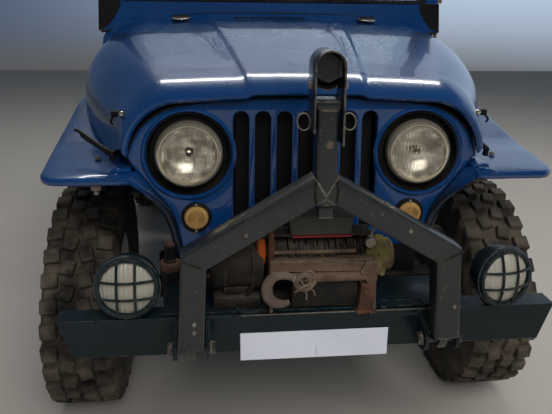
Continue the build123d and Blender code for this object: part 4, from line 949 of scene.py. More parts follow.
def fogHousingPart():
    shell = [(67, -38), (70, -43.5), (77, -44), (80, -40), (80.5, -30), (80, -18), (77, -6), (73, 14), (64, 30),
             (50, 43),
             (30, 50), (0, 52)]
    inside = [(0, 44), (40, 36), (60, 20), (66, -10), (66, -36), (67, -38)]
    parts = []
    for lamp in fogSettings["lamps"]:
        parts.append(fogPlace(turnedPart(shell + inside, (0, 0, 0), "Y", 56), lamp))
        parts.append(fogPlace(turnedPart([(79, -34), (83, -33), (84, -28), (83, -23), (79, -22)], (0, 0, 0), "Y", 56,
                                         True), lamp))
        stem = joined(roundBox((-15, 15), (-15, 15), (600 - lamp[1] + 4, -74), 2),
                      roundBox((-30, 30), (-20, 25), (600 - lamp[1], 604 - lamp[1]), 1.5),
                      moved(hexBolt((0, 0, 0), "Z", 15, 8, 11), (0, -2, 604 - lamp[1] + 1)))
        parts.append(moved(stem, (lamp[0], fogSettings["y"], lamp[1])))
    return joined(*parts)


def fogGuardPart():
    # two upright and two level bars bowed over the glass: depth falls with the square of the distance
    given = fogSettings
    parts = []
    reach = np.linspace(-1, 1, 17)
    for lamp in given["lamps"]:
        for offset in (-given["barGap"], given["barGap"]):
            half = math.sqrt(74 ** 2 - offset ** 2)
            bow = -60 + 18 * ((reach * half) ** 2 + offset ** 2) / 74 ** 2
            level = np.stack([reach * half, bow, 0 * reach + offset], -1)
            upright = level[:, [2, 1, 0]]
            for line, up in ((level, (0, 0, 1)), (upright, (1, 0, 0))):
                parts.append(fogPlace(sweptPart(line, circleProfile(given["barRadius"], 10), up), lamp))
    return joined(*parts)


fogLens = [(0, -54), (22, -52.5), (42, -48.5), (56, -43), (66, -36), (66, -30), (0, -30)]
addPiece("fog_housings", fogHousingPart(), tealBlack, "chassis", ["fog_lamps"])
addPiece("fog_guards", fogGuardPart(), tealBlack, "chassis", slotName="teal_black_paint")
addPiece("fog_lenses", joined(*[fogPlace(turnedPart(fogLens, (0, 0, 0), "Y", 48),
                                         lamp) for lamp in fogSettings["lamps"]]),
         fogGlass, "chassis", slotName="lamp_glass")
print("fog lamps made")

# Tow bar: square tubes, plates and coupler
barSettings = {
    "y": -725, "half": 31, "corner": 8, "legX": 316, "legBottom": 574, "shoulder": 791, "apex": 963, "postHalf": 24,
    "postCorner": 7, "stubHalf": 18, "stubBottom": 891, "couplerHalf": 36, "couplerDeep": 45, "couplerTop": 1287,
    "cheekBottom": 1070, "wall": 5, "hingeY": -700, "hingeZ": 545, "pinReach": 56, "pinRadius": 10,
}


def radiusTube(path, radius, sides=12, up=(0.1, 1, 0.2), flatten=1.0):
    # tube whose radius changes from point to point of its path
    path = np.asarray(path, float)
    along = np.gradient(path, axis=0)
    along /= np.linalg.norm(along, axis=1, keepdims=True)
    side = np.cross(along, np.array(up, float))
    side /= np.linalg.norm(side, axis=1, keepdims=True)
    over = np.cross(side, along) * flatten
    ring = circleProfile(1, sides)
    reach = side[:, None] * ring[None, :, :1] + over[:, None] * ring[None, :, 1:]
    return ringLoft(path[:, None] + np.asarray(radius, float)[:, None, None] * reach)


def taperedTube(rows, samples=6, sides=12, up=(0.1, 1, 0.2), flatten=1.0):
    # rows of (x, y, z, radius)
    curve = smoothPath(rows, samples)
    return radiusTube(curve[:, :3], np.maximum(curve[:, 3], 0.5), sides, up, flatten)


def weldPart(points, radius=4.0, seed=3):
    # bead whose radius ripples along its path
    path = smoothPath(points, 7)
    step = np.arange(len(path))
    return radiusTube(path, radius * (1 + 0.22 * np.sin(step * 1.9 + seed) + 0.1 * np.sin(step * 0.7)), 8)


def barFramePart():
    given = barSettings
    tube = roundedSquare(given["half"], given["corner"])
    parts = []
    for side in (-1, 1):
        leg = [(side * given["legX"], given["legBottom"]), (side * (given["legX"] - 9), given["shoulder"]),
               (side * 12, given["apex"] + 3)]
        parts.append(mitredTube(leg, given["y"], tube))
    post = roundedSquare(given["postHalf"], given["postCorner"], 3, given["half"] - 1)
    parts.append(mitredTube([(0, 925), (0, 1150)], given["y"], post))
    stub = roundedSquare(given["stubHalf"], 6, 3, 22)
    parts.append(mitredTube([(2, given["stubBottom"]), (2, 960)], given["y"], stub))
    return joined(*parts)


def barPlatesPart():
    given = barSettings
    parts = []
    for side in (-1, 1):
        x = side * given["legX"]
        rings = []
        outline = smoothPath([(-740, 574), (-728, 548), (-712, 524), (-695, 521), (-681, 536), (-680, 556),
                              (-694, 590)], 4)
        for dx in (-10, 10):
            rings.append(np.stack([x + dx + 0 * outline[:, 0], outline[:, 0], outline[:, 1]], -1))
        parts.append(ringLoft(rings))
        reach = given["pinReach"]
        parts.append(straightTube((x - reach, given["hingeY"], given["hingeZ"]),
                                  (x + reach, given["hingeY"], given["hingeZ"]), given["pinRadius"], 20))
        for end in (-1, 1):
            parts.append(hexBolt((x + end * (reach - 10), given["hingeY"], given["hingeZ"]), "X", 26, end * 12, 17))
    return joined(*parts)


def couplerPart():
    # arch of plate round the head: up one cheek, over the top and down the other
    given = barSettings
    half, wall = given["couplerHalf"], given["wall"]
    roundZ = given["couplerTop"] - half
    turn = np.linspace(math.pi, 0, 21)
    middle = half - wall / 2
    arch = np.concatenate([[(-middle, given["cheekBottom"] + 30), (-middle, roundZ - 60)],
                           np.stack([middle * np.cos(turn), roundZ + middle * np.sin(turn)], -1),
                           [(middle, roundZ - 60), (middle, given["cheekBottom"])]])
    strip = roundedSquare(given["couplerDeep"], 1.8, 2, wall / 2)
    shell = archStrip(arch, given["y"], strip)
    share = np.array([1.0, 0.66, 0.33, 0.0])
    sheet = []
    for y in (given["y"] + given["couplerDeep"] - 8, given["y"] + given["couplerDeep"] - 3):
        rows = np.stack([arch[None, 1:-1, 0] * share[:, None], y + 0 * arch[None, 1:-1, 0] * share[:, None],
                         arch[None, 1:-1, 1] + 0 * share[:, None]], -1)
        sheet.append(rows)
    grid = np.concatenate([sheet[0], sheet[1][::-1]])
    back = grid.reshape(-1, 3), gridQuads(grid.shape[0], grid.shape[1], closeRows=True)
    # wedge inside the round of the cap, and the ledge over the tube's end
    wedge = ringLoft([np.array([(-29, y, 1262), (-29, y, 1226), (0, y, 1212), (29, y, 1226), (29, y, 1262),
                                (0, y, 1280)]) for y in (-745, -690)])
    ledge = roundBox((-30, 30), (-757, -684), (1150, 1172), 6)
    throat = turnedPart([(0, 34), (16, 34), (24, 24), (28, 8), (30, -6), (30, 36), (0, 36)],
                        (0, given["y"] - 5, 1222), "Y", 32)
    return joined(shell, back, wedge, ledge, throat)


def archStrip(line, y, profile):
    # the strip's first value lies along Y, its second square to the line in the front view
    along = np.gradient(line, axis=0)
    along /= np.linalg.norm(along, axis=1, keepdims=True)
    across = np.stack([-along[:, 1], along[:, 0]], -1)
    flat = line[:, None] + across[:, None] * profile[None, :, 1:]
    depth = y + np.broadcast_to(profile[None, :, 0], flat.shape[:2])
    return ringLoft(np.stack([flat[..., 0], depth, flat[..., 1]], -1))


def barSmallPart():
    # bolts, brass bushes and the spring rings beside the coupler
    given = barSettings
    front = given["y"] - given["half"]
    parts = [hexBolt((3, front + 2, 1070), "Y", 15, -7, 10),
             hexBolt((-given["couplerHalf"] - 1, given["y"] - 12, 1205), "X", 15, -9, 10),
             hexBolt((given["couplerHalf"] + 1, given["y"] - 12, 1205), "X", 15, 9, 10)]
    for x, z in ((-316, 640), (-316, 618), (-196, 858), (196, 858), (316, 660)):
        parts.append(turnedPart([(0, -5), (4.5, -4), (6, -1), (6, 2), (0, 2)], (x + 9, front, z), "Y", 14))
    angle = np.linspace(0, 2 * math.pi, 33)[:-1]
    for side in (-1, 1):
        ring = np.stack([side * (38 + 16 * (1 - np.cos(angle)) / 2 * 1.9), given["y"] - 8 + 6 * np.sin(angle),
                         1120 + 19 * np.sin(angle)], -1)
        parts.append(sweptPart(ring, circleProfile(1.8, 8), (0.1, 1, 0.1), closed=True))
    return joined(*parts)


def barWeldsPart():
    given = barSettings
    parts = []
    front, half = given["y"] - given["half"], given["half"]
    for side in (-1, 1):
        corner = np.array([given["legX"], given["shoulder"]])
        across = np.array([math.cos(math.pi / 4), 0.32])
        inner, outer = corner - across * half * 1.2, corner + across * half * 1.2
        line = [(side * inner[0], front, inner[1]), (side * corner[0], front - 1, corner[1]),
                (side * outer[0], front, outer[1])]
        parts.append(weldPart(line, 2.6, 2 + side))
        parts.append(weldPart([(side * 25, front, 985), (side * 27, front, 960), (side * 24, front, 930)], 3.2, side))
        parts.append(weldPart([(side * 20, front + 10, 926), (side * 20, front + 12, 936),
                               (side * 19, front + 22, 930)], 3, side))
    parts.append(weldPart([(-20, front + 3, 925), (0, front, 922), (20, front + 3, 925)], 3.4))
    return joined(*parts)


addPiece("tow_bar_frame", joined(barFramePart(), barPlatesPart()), barPaint, "tow_bar", ["tow_bar"])
addPiece("tow_bar_welds", barWeldsPart(), blackSteel, "tow_bar", slotName="bar_paint")
roundEdges(addPiece("tow_bar_coupler", couplerPart(), barPaint, "tow_bar", slotName="bar_paint"), 1.2)
addPiece("tow_bar_fittings", barSmallPart(), brightBolt, "tow_bar", slotName="bright_ring")
print("tow bar made")

# Number plate: two blank sheets taped together
plateSettings = {"face": -650, "sheets": [(-193, 14, 479, 550), (2, 193, 476, 551)]}


def platePart():
    # each sheet waves a little: its depth is a sum of two slow sines
    parts = []
    for index, (x0, x1, z0, z1) in enumerate(plateSettings["sheets"]):
        u, v = np.meshgrid(np.linspace(0, 1, 28), np.linspace(0, 1, 10), indexing="ij")
        lift = 0.9 * np.sin(u * 9 + index * 2 + v * 2) * np.sin(v * math.pi) + 0.5 * np.sin(u * 4 + index)
        x, z = x0 + (x1 - x0) * u + 1.5 * v * (index * 2 - 1), z0 + (z1 - z0) * v + 1.2 * u
        face = plateSettings["face"] - 1.6 - 1.1 * index - lift * 0.5 - 0.6
        grid = np.stack([x, face, z], -1)
        parts.append((grid.reshape(-1, 3), gridQuads(28, 10)))
    return joined(*parts)


plate = addPiece("plate_sheets", platePart(), plateWhite, "chassis", closedShape=False, slotName="plate_white")
thicken(plate, 0.8)
softEdged("number_plate", plateWhite, 1.0)
print("plate made")

# Wheels
tyreSettings = {
    "radius": 370, "base": 352, "rows": 30, "shoulderX": 79, "shoulderWidth": 52, "centreX": 26, "centreWidth": 42,
    "blockLength": 47, "wheelX": 677,
}


def tyrePart():
    # tyre at the origin with its axle along X; blocks are set on the tread's circle row by row
    given = tyreSettings
    half = [(190, 85), (196, 92), (208, 100), (214, 103), (217, 106), (222, 105), (240, 109), (262, 111.5),
            (285, 112), (288, 113.5), (294, 113),
            (310, 111), (330, 106), (344, 100), (351, 92), (352.5, 60), (353, 20)]
    profile = [(r, -x) for r, x in half] + [(r, x) for r, x in half[::-1]]
    carcass = turnedPart(profile, (0, 0, 0), "X", 90, True)
    parts = [carcass]
    pitch = 2 * math.pi / given["rows"]
    height = given["radius"] - given["base"]
    columns = [(-given["shoulderX"], given["shoulderWidth"], 0.0, 4),
               (-given["centreX"], given["centreWidth"], 0.5, -14),
               (given["centreX"], given["centreWidth"], 0.0, 14),
               (given["shoulderX"], given["shoulderWidth"], 0.5, -4)]
    for x, width, phase, turn in columns:
        block = roundBox((-width / 2, width / 2), (-given["blockLength"] / 2, given["blockLength"] / 2), (-9, height),
                         3, 1)
        points, quads = moved(block, (0, 0, 0), (turn, "Z"))
        points = points.copy()
        rise = np.clip((points[:, 2] + 9) / (height + 9), 0, 1)
        points[:, :2] *= (1.06 - 0.12 * rise)[:, None]
        if abs(x) > 50:
            outer = np.clip(np.sign(x) * points[:, 0] / (width / 2), 0, 1)
            points[:, 2] -= 5.5 * outer ** 2
            points[:, 2] -= (1 - rise) * outer * 16
        rows = np.arange(given["rows"]) + phase
        angle = rows[:, None] * pitch + points[None, :, 1] / given["radius"]
        radius = given["base"] + points[None, :, 2]
        across = x + points[None, :, 0] + 0 * angle
        ring = np.stack([across, radius * np.cos(angle), radius * np.sin(angle)], -1)
        count = len(points)
        offsets = np.arange(given["rows"])[:, None, None] * count
        parts.append((ring.reshape(-1, 3), (quads[None] + offsets).reshape(-1, 4)))
    return joined(*parts)


rimBarrel = [(190, -85), (204, -85.5), (205, -89), (203, -91), (196, -90), (188, -86), (184, -76), (176, -60),
             (168, -40), (166, 10), (170, 40),
             (176, 60), (184, 76), (188, 86), (196, 90), (203, 91), (205, 89), (204, 85.5), (190, 85), (184, 60),
             (174, 38), (171, 8),
             (172, -38), (181, -60), (187, -76)]
rimDisc = [(171, 22), (160, 32), (148, 38), (132, 41), (112, 36), (98, 27), (88, 24), (72, 27), (50, 27), (50, 22),
           (72, 22), (90, 19), (100, 22),
           (113, 31), (132, 36), (147, 33), (158, 27), (169, 18)]
hubProfile = [(45, 20), (45, 58), (42, 66), (41, 86), (37, 92), (20, 94), (0, 94)]
drumProfile = [(56, -22), (134, -22), (139, -17), (140, 4), (140, 14), (135, 18), (56, 18)]


def rimPart():
    parts = [turnedPart(profile, (0, 0, 0), "X", 64, True) for profile in (rimBarrel, rimDisc, drumProfile)]
    parts.append(turnedPart(hubProfile, (0, 0, 0), "X", 40))
    for k in range(5):
        angle = math.radians(72 * k)
        parts.append(moved(hexBolt((0, 0, 0), "X", 21, 20, 15), (24, 70 * math.cos(angle), 70 * math.sin(angle))))
    for k in range(12):
        angle = math.radians(30 * k + 15)
        parts.append(moved(hexBolt((0, 0, 0), "X", 9, 5, 6), (90, 30 * math.cos(angle), 30 * math.sin(angle))))
    return joined(*parts)


def wheelPlace(part, corner):
    # wheels stand with their outer side away from the vehicle; the spare faces backwards
    if corner == "spare":
        low, high = boxOf("tyre_spare")
        return moved(part, (low + high) / 2, (90, "Z"))
    side = 1 if corner.endswith("left") else -1
    y = 0 if corner.startswith("front") else wheelbase
    return moved(part, (side * tyreSettings["wheelX"], y, axleZ), (0 if side > 0 else 180, "Z"))


basicTyre, basicRim = tyrePart(), rimPart()
for corner in ("front_left", "front_right", "rear_left", "rear_right", "spare"):
    addPiece("tread_" + corner, wheelPlace(basicTyre, corner), tyreRubber, bodyOf["tyre_" + corner],
             ["tyre_" + corner])
    addPiece("wheel_disc_" + corner, wheelPlace(basicRim, corner), wheelPaint, bodyOf["rim_" + corner],
             ["rim_" + corner])
print("wheels made")

# Winch between the frame's horns, with its cable, fairlead, hook and control box
winchSettings = {
    "y": -580, "motor": [(0, -270), (44, -270), (56, -267), (62, -260), (64, -254), (64, -232), (61, -230),
                         (61, -166),
                         (66, -163), (66, -140), (62, -134), (0, -132)],
    "motorZ": 711, "drumZ": 737, "drumX": (-98, 118), "drumRadius": 36, "cable": 4.6,
    "gear": [(0, 131), (36, 131), (41, 137), (45, 140), (45, 168), (51, 170), (51, 184), (45, 186), (43, 206),
             (36, 213), (0, 216)],
    "gearZ": 727, "boxLow": (-66, 90), "boxHigh": (-74, 97), "boxY": (-640, -588), "boxZ": (806, 856),
}


def rectRing(x, y, z, radius, steps=4):
    ring = roundedSquare((x[1] - x[0]) / 2, radius, steps, (y[1] - y[0]) / 2)
    return np.column_stack([ring + [(x[0] + x[1]) / 2, (y[0] + y[1]) / 2], np.full(len(ring), z)])


def cablePart():
    # helix round the drum in two layers, then loops that hang loose in front of it
    given = winchSettings
    parts = []
    for layer, (start, end) in enumerate((given["drumX"], (-70, 60))):
        radius = given["drumRadius"] + given["cable"] * (1 + 1.7 * layer)
        turns = abs(end - start) / (given["cable"] * 2.1)
        angle = np.linspace(0, 2 * math.pi * turns, int(turns * 18))
        x = np.linspace(start, end, len(angle)) + 1.5 * np.sin(angle * 0.37 + layer)
        path = np.stack([x, given["y"] + radius * np.cos(angle), given["drumZ"] + radius * np.sin(angle)], -1)
        parts.append(sweptPart(path, circleProfile(given["cable"], 7), (1, 0, 0)))
    for x, lean, deep in ((-62, 22, 14), (-40, 34, 20), (-8, 26, 15), (18, 18, 12), (66, 10, 9)):
        loop = [(x, -590, 778), (x + lean * 0.3, -604 - deep * 0.5, 772), (x + lean * 0.8, -604 - deep, 752),
                (x + lean, -602 - deep * 0.6, 728),
                (x + lean, -590, 712)]
        parts.append(tube(loop, given["cable"] * 0.9, 6, 8, (1, 0, 0)))
    return joined(*parts)


def winchPart():
    given = winchSettings
    y, drum = given["y"], given["drumZ"]
    low, high = given["drumX"]
    parts = [turnedPart(given["motor"], (0, y, given["motorZ"]), "X", 48)]
    flange = [(0, 0), (44, 0), (47, 2), (47, 5), (44, 7), (0, 7)]
    for x in (low - 8, high + 2):
        parts.append(turnedPart([(r, x + d) for r, d in flange], (0, y, drum), "X", 40))
    parts.append(turnedPart([(0, low - 30), (given["drumRadius"], low - 30), (given["drumRadius"], high + 18),
                             (0, high + 18)], (0, y, drum), "X", 32))
    for turn in np.radians([30, 110, 200, 290]):
        parts.append(hexBolt((-270, y + 42 * math.cos(turn), given["motorZ"] + 42 * math.sin(turn)), "X", 12, -7, 9))
    # bridge over the drum, with a leg at each end
    parts += [roundBox((-143, 147), (-632, -565), (800, 805), 1.5),
              roundBox((-143, -136), (-585, -563), (742, 802), 1.5),
              roundBox((141, 147), (-585, -563), (742, 802), 1.5)]
    # feet that carry the motor and drum on the cradle
    parts += [roundBox((-262, -140), (-630, -540), (606, 640), 6),
              roundBox((-236, -166), (-615, -550), (636, 662), 5),
              roundBox((-60, 112), (-640, -632), (612, 676), 3), roundBox((-104, 124), (-632, -560), (606, 622), 3)]
    return joined(*parts)


def gearPart():
    given = winchSettings
    y, z = given["y"], given["gearZ"]
    parts = [turnedPart(given["gear"], (0, y, z), "X", 40), roundBox((137, 186), (-628, -560), (684, 742), 9),
             roundBox((142, 178), (-622, -566), (735, 776), 8),
             turnedPart([(0, -12), (14, -12), (17, -8), (17, 14), (0, 14)], (158, -628, 716), "Y", 20)]
    for turn in np.linspace(0, 2 * math.pi, 8, endpoint=False):
        parts.append(hexBolt((184, y + 46 * math.cos(turn), z + 46 * math.sin(turn)), "X", 10, 6, 7))
    for x, boltZ in ((145, 692), (178, 692), (145, 734), (178, 734)):
        parts.append(hexBolt((x, -628, boltZ), "Y", 10, -5, 7))
    return joined(*parts)


def boxPart():
    given = winchSettings
    low, high, y, (z0, z1) = given["boxLow"], given["boxHigh"], given["boxY"], given["boxZ"]
    share = np.array([0, 0.05, 0.5, 0.95, 1.0])
    inset = np.array([4, 0, 0, 0, 2])
    rings = [rectRing((low[0] + (high[0] - low[0]) * t + d, low[1] + (high[1] - low[1]) * t - d),
                      (y[0] + d, y[1] - d), z0 + (z1 - z0) * t, 6)
             for t, d in zip(share, inset)]
    lid = roundBox((high[0] - 3, high[1] + 3), (y[0] - 4, y[1] + 3), (z1, z1 + 6), 2.5)
    return joined(ringLoft(rings), lid)


def hookPart():
    # forged hook on its side, thickest at the bend, with the cable's wire bound through its eye
    body = taperedTube([(-58, -705, 718, 8), (-74, -705, 727, 9), (-92, -705, 732, 10.5), (-112, -705, 729, 12),
                        (-127, -705, 714, 13.5),
                        (-132, -705, 693, 14.5), (-126, -705, 673, 14), (-110, -705, 660, 12.5), (-92, -705, 657, 10),
                        (-76, -705, 661, 6.5)],
                       6, 14, (0, 1, 0), 0.8)
    angle = np.linspace(0, 2 * math.pi, 33)[:-1]
    eye = np.stack([-42 + 18 * np.cos(angle), -705 + 3 * np.sin(2 * angle), 713 + 18 * np.sin(angle)], -1)
    return joined(body, sweptPart(eye, circleProfile(8, 12), (0, 1, 0), closed=True))


def wirePart():
    # strands wound round the eye by three turns in different planes, and the cable back to the drum
    angle = np.linspace(0, 2 * math.pi, 25)[:-1]
    parts = []
    for centre, size, turn in (((-30, -706, 722), 17, 0.3), ((-26, -707, 706), 15, 1.3), ((-46, -706, 697), 16, 2.2),
                               ((-22, -700, 714), 14, 2.8)):
        loop = np.stack([size * np.cos(angle), 12 * np.sin(angle), size * 0.8 * np.sin(angle + turn)],
                        -1) + np.array(centre)
        parts.append(sweptPart(loop, circleProfile(2.6, 7), (0.3, 1, 0.2), closed=True))
    for start, end in (((-30, -712, 700), (-14, -722, 683)), ((-40, -712, 694), (-36, -722, 674)),
                       ((-22, -710, 722), (-4, -716, 734))):
        middle = (np.array(start) + np.array(end)) / 2 + np.array([3, 0, 4])
        parts.append(tube([start, middle, end], 1.6, 5, 6, (0, 1, 0.2)))
    parts.append(tube([(-34, -700, 712), (-32, -672, 714), (-28, -640, 716), (-24, -606, 716), (-22, -580, 706)], 5,
                      8, 10))
    return joined(*parts)


def platePoly(points, y, edge=1.2):
    # flat plate in the front view from its corners, with its edges drawn in a little
    points = np.asarray(points, float)
    middle = points.mean(axis=0)
    drawn = middle + (points - middle) * (1 - edge / np.abs(points - middle).max())
    rings = [(drawn, y[0]), (points, y[0] + edge), (points, y[1] - edge), (drawn, y[1])]
    return ringLoft([np.column_stack([ring[:, 0], np.full(len(ring), depth), ring[:, 1]]) for ring, depth in rings])


def fairleadPart():
    arc = np.linspace(0, -math.pi, 9)
    lug = np.concatenate([[(128, 742), (157, 742)], np.stack([143 + 14 * np.cos(arc), 693 + 14 * np.sin(arc)], -1),
                          [(112, 712)]])
    roller = [(0, -62), (12, -62), (14, -58), (14.5, 20), (14, 128), (11, 131), (0, 131)]
    return joined(platePoly([(-119, 743), (148, 736), (148, 716), (100, 714), (-60, 716), (-119, 716)], (-654, -648)),
                  roundBox((-119, 148), (-650, -612), (738, 743), 1.5), platePoly(lug[::-1], (-662, -656)),
                  turnedPart(roller, (0, -646, 697), "X", 24),
                  turnedPart([(r * 0.8, d) for r, d in roller], (0, -632, 731), "X", 20),
                  roundBox((-119, -111), (-652, -612), (604, 742), 2),
                  roundBox((149, 157), (-656, -612), (604, 742), 2))


def bracketPart():
    arms = [(116, 680), (152, 680), (154, 640), (148, 606), (118, 598), (108, 606), (112, 640)]
    return joined(platePoly(arms, (-664, -640), 3), roundBox((104, 160), (-668, -636), (600, 607), 2),
                  roundBox((-122, -108), (-640, -520), (700, 820), 3),
                  turnedPart([(0, -4), (7, -3), (9, 0), (9, 3), (0, 3)], (130, -666, 655), "Y", 14))


def cradlePart():
    foot = roundBox((351, 391), (-590, -470), (570, 601), 2)
    slot = [rectRing((134, 292), (-682, -612), z, 5) for z in (600.5, 607, 608)]
    angle = np.linspace(0, 2 * math.pi, 33)[:-1]
    shackle = np.stack([-170 + 34 * np.cos(angle), -627 + 27 * np.sin(angle), 0 * angle + 611], -1)
    return joined(roundBox((-391, 391), (-640, -470), (600, 606), 2), foot, mirrored(foot), ringLoft(slot),
                  sweptPart(shackle, circleProfile(5, 10), (0, 0, 1), closed=True),
                  roundBox((-126, -120), (-620, -500), (605, 676), 2),
                  roundBox((130, 136), (-620, -500), (605, 676), 2),
                  turnedPart([(0, -3), (12, -3), (12, 3), (0, 3)], (181, -641, 609), "Z", 20))


addPiece("winch_body", winchPart(), winchSteel, "chassis", ["winch"])
addPiece("winch_cable", cablePart(), winchSteel, "chassis", slotName="winch_steel")
addPiece("winch_gears", gearPart(), oliveSteel, "chassis", slotName="rusty_steel")
addPiece("control_box", boxPart(), boxGrey, "chassis", slotName="winch_steel")
addPiece("control_box_edge", roundBox((-64, 92), (-642, -590), (800.5, 806), 2), redEdge, "chassis",
         slotName="winch_steel")
addPiece("winch_rod", straightTube((-107, -628, 757), (104, -628, 757), 5.5), brownSteel, "chassis",
         slotName="bright_ring")
addPiece("winch_boot", taperedTube([(-141, -616, 796, 6), (-140, -618, 786, 11), (-139, -620, 768, 12.5),
                                    (-138, -622, 748, 11), (-138, -623, 732, 8), (-138, -624, 724, 6)],
                                   6, 16), orangeBoot, "chassis", slotName="black_plastic")
addPiece("winch_leads", joined(tube([(-138, -624, 726), (-144, -627, 706), (-158, -630, 676), (-176, -628, 646)],
                                    5.5),
                               tube([(-150, -600, 792), (-190, -612, 786), (-236, -618, 760), (-262, -616, 720),
                                     (-268, -606, 680)], 4.5)),
         blackPlastic, "chassis", slotName="black_plastic")
addPiece("clutch_lever", joined(tube([(140, -626, 772), (141, -628, 790), (148, -630, 812), (156, -630, 838)], 3.2),
                                turnedPart([(0, -6), (13, -6), (15, -2), (15, 5), (0, 7)], (143, -630, 780), "Y",
                                           18)),
         brightBolt, "chassis", slotName="bright_ring")
addPiece("fairlead", fairleadPart(), brownSteel, "chassis", slotName="rusty_steel")
addPiece("fairlead_bracket", bracketPart(), rustySteel, "chassis", slotName="rusty_steel")
addPiece("winch_base", cradlePart(), tealBlack, "chassis", ["winch_cradle"], slotName="teal_black_paint")
addPiece("tow_hook", hookPart(), forgedSteel, "chassis", ["winch_hook"])
addPiece("hook_wire", wirePart(), brownSteel, "chassis", slotName="rusty_steel")
addPiece("grille_foot", roundBox((-338, 338), (-424, -404), (602, 724), 4), blackSteel, "chassis",
         slotName="black_steel")
# pale metal strip along the bumper's top front edge: partly bare worn steel, partly a painted highlight along that
# edge
addPiece("bumper_worn_edge_highlight", roundBox((-190, 392), (-650.8, -648), (597.5, 600.9), 0.8), brightBolt, "chassis",
         slotName="bright_ring")
print("winch made")

# Catches of the hood, and the steering damper's bracket beside the frame
def catchPart():
    post = taperedTube([(539, -412, 952, 9), (539, -416, 968, 8), (536, -420, 980, 7)], 4, 12)
    clip = joined(roundBox((524, 542), (-400, -382), (1068, 1086), 3),
                  taperedTube([(536, -400, 1070, 3.5), (541, -408, 1060, 3.5), (537, -405, 1049, 2.5)], 5, 10))
    return post, clip


def leverPart(rows):
    head = rows[0]
    cross = straightTube((head[0] - 16, head[1], head[2] + 8), (head[0] + 14, head[1] - 4, head[2] - 8), 4.5, 10)
    return joined(taperedTube(rows, 5, 12), cross)


post, clip = catchPart()
leftLever = leverPart([(-640, -332, 1014, 5), (-628, -344, 1006, 9), (-584, -382, 987, 8), (-546, -412, 972, 9),
                       (-538, -418, 966, 6)])
rightLever = leverPart([(500, -436, 1002, 4), (510, -434, 995, 7), (526, -428, 982, 8), (540, -420, 972, 7),
                        (545, -416, 966, 4)])
addPiece("hood_levers", joined(post, mirrored(post), leftLever, rightLever), blackPlastic, "chassis",
         slotName="black_plastic")
addPiece("hood_clips", joined(clip, mirrored(clip)), blackSteel, "hood", slotName="black_steel")
clipBolt = turnedPart([(0, -8), (5, -7), (7, -4), (7, 4), (0, 4)], (512, -404, 1080), "Y", 14)
addPiece("hood_clip_bolts", joined(clipBolt, mirrored(clipBolt)), brightRing, "hood", slotName="bright_ring")
bolts = [hexBolt((x, y, fenderTop(y) + 4), "Z", 13, 7, 10) for x, y in ((-590, -350), (-640, 40), (590, -350))]
under = joined(roundBox((-590, -562), (-474, -448), (880, 906), 4),
               turnedPart([(0, 866), (7, 868), (7, 884), (0, 884)], (-576, -461, 0), "Z", 12))
addPiece("fender_bolts", joined(*bolts, under), brightBolt, "chassis", slotName="bright_ring")
column = [(0, 566), (25, 566), (25, 636), (19, 640), (19, 668), (16, 672), (16, 712), (10, 716), (0, 716)]
cap = [(0, 640), (27, 640), (28, 645), (28, 660), (26, 664), (0, 664)]
addPiece("frame_post", turnedPart(column, (-384, -448, 0), "Z", 28), blackSteel, "chassis", slotName="black_steel")
addPiece("frame_post_cap", joined(turnedPart(cap, (-384, -448, 0), "Z", 28),
                                  hexBolt((-384, -448, 714), "Z", 15, 10, 12)), rustySteel, "chassis",
         slotName="rusty_steel")
print("catches made")

# Windshield: panel with a window, arched at the foot, that folds forward with its glass
windshieldSettings = {
    "y": 573, "hingeZ": 1344, "lean": 8, "thickness": 26, "half": 735, "top": 1800, "corner": 60,
    "foot": [(0, 1337), (316, 1331), (526, 1316), (610, 1301), (690, 1262), (735, 1256)],
    "window": [(0, 1392), (630, 1392), (668, 1402), (673, 1420), (673, 1728), (660, 1748), (632, 1760), (0, 1760)],
    "corners": [(648, 1386), (648, 1361), (673, 1311), (699, 1277), (732, 1259), (738, 1259), (738, 1386)],
}


def leanMatrix():
    given = windshieldSettings
    pivot = Matrix.Translation([0, given["y"] / 1000 + axleShift[1], given["hingeZ"] / 1000])
    return pivot @ Matrix.Rotation(math.radians(-given["lean"]), 4, "X") @ pivot.inverted()


def leaned(part):
    given = windshieldSettings
    pivot = np.array([0, given["y"], given["hingeZ"]])
    return moved(moved(part, -pivot), pivot, (-given["lean"], "X"))


def windshieldMesh():
    given = windshieldSettings
    half, top, cut = given["half"], given["top"], given["corner"]
    arc = np.linspace(0, math.pi / 2, 8)
    upper = np.stack([half - cut + cut * np.cos(arc), top - cut + cut * np.sin(arc)], -1)
    outline = mirroredLine(np.concatenate([smoothPath(given["foot"], 6), upper]))
    mesh = flatShape([outline, mirroredLine(smoothPath(given["window"][1:-1], 4))], "windshield_panel", given["y"],
                     given["thickness"], 4)
    mesh.transform(leanMatrix())
    mesh.polygons.foreach_set("use_smooth", [True] * len(mesh.polygons))
    mesh.set_sharp_from_angle(angle=math.radians(35))
    return mesh


def windowSeal():
    given = windshieldSettings
    line = mirroredLine(smoothPath(given["window"][1:-1], 4))
    parts = []
    for y, radius in ((given["y"] - 14, 8), (given["y"] + 14, 6)):
        path = np.stack([line[:, 0], 0 * line[:, 0] + y, line[:, 1]], -1)
        parts.append(sweptPart(path, circleProfile(radius, 10) * np.array([1.2, 0.7]), (0, 1, 0), closed=True))
    return leaned(joined(*parts))


def wiperPart(x):
    y = windshieldSettings["y"] - 18
    arm = taperedTube([(x, y, 1408, 7), (x + 14, y - 8, 1424, 4), (x + 60, y - 10, 1500, 3.2),
                       (x + 108, y - 5, 1600, 3)], 5, 8)
    blade = roundBox((-3, 3), (-5, 5), (-150, 150), 2)
    return joined(arm, moved(moved(blade, (0, 0, 0), (20, "Y")), (x + 112, y - 2, 1592)),
                  turnedPart([(0, -12), (13, -10), (15, 8), (0, 8)], (x, y, 1408), "Y", 20))


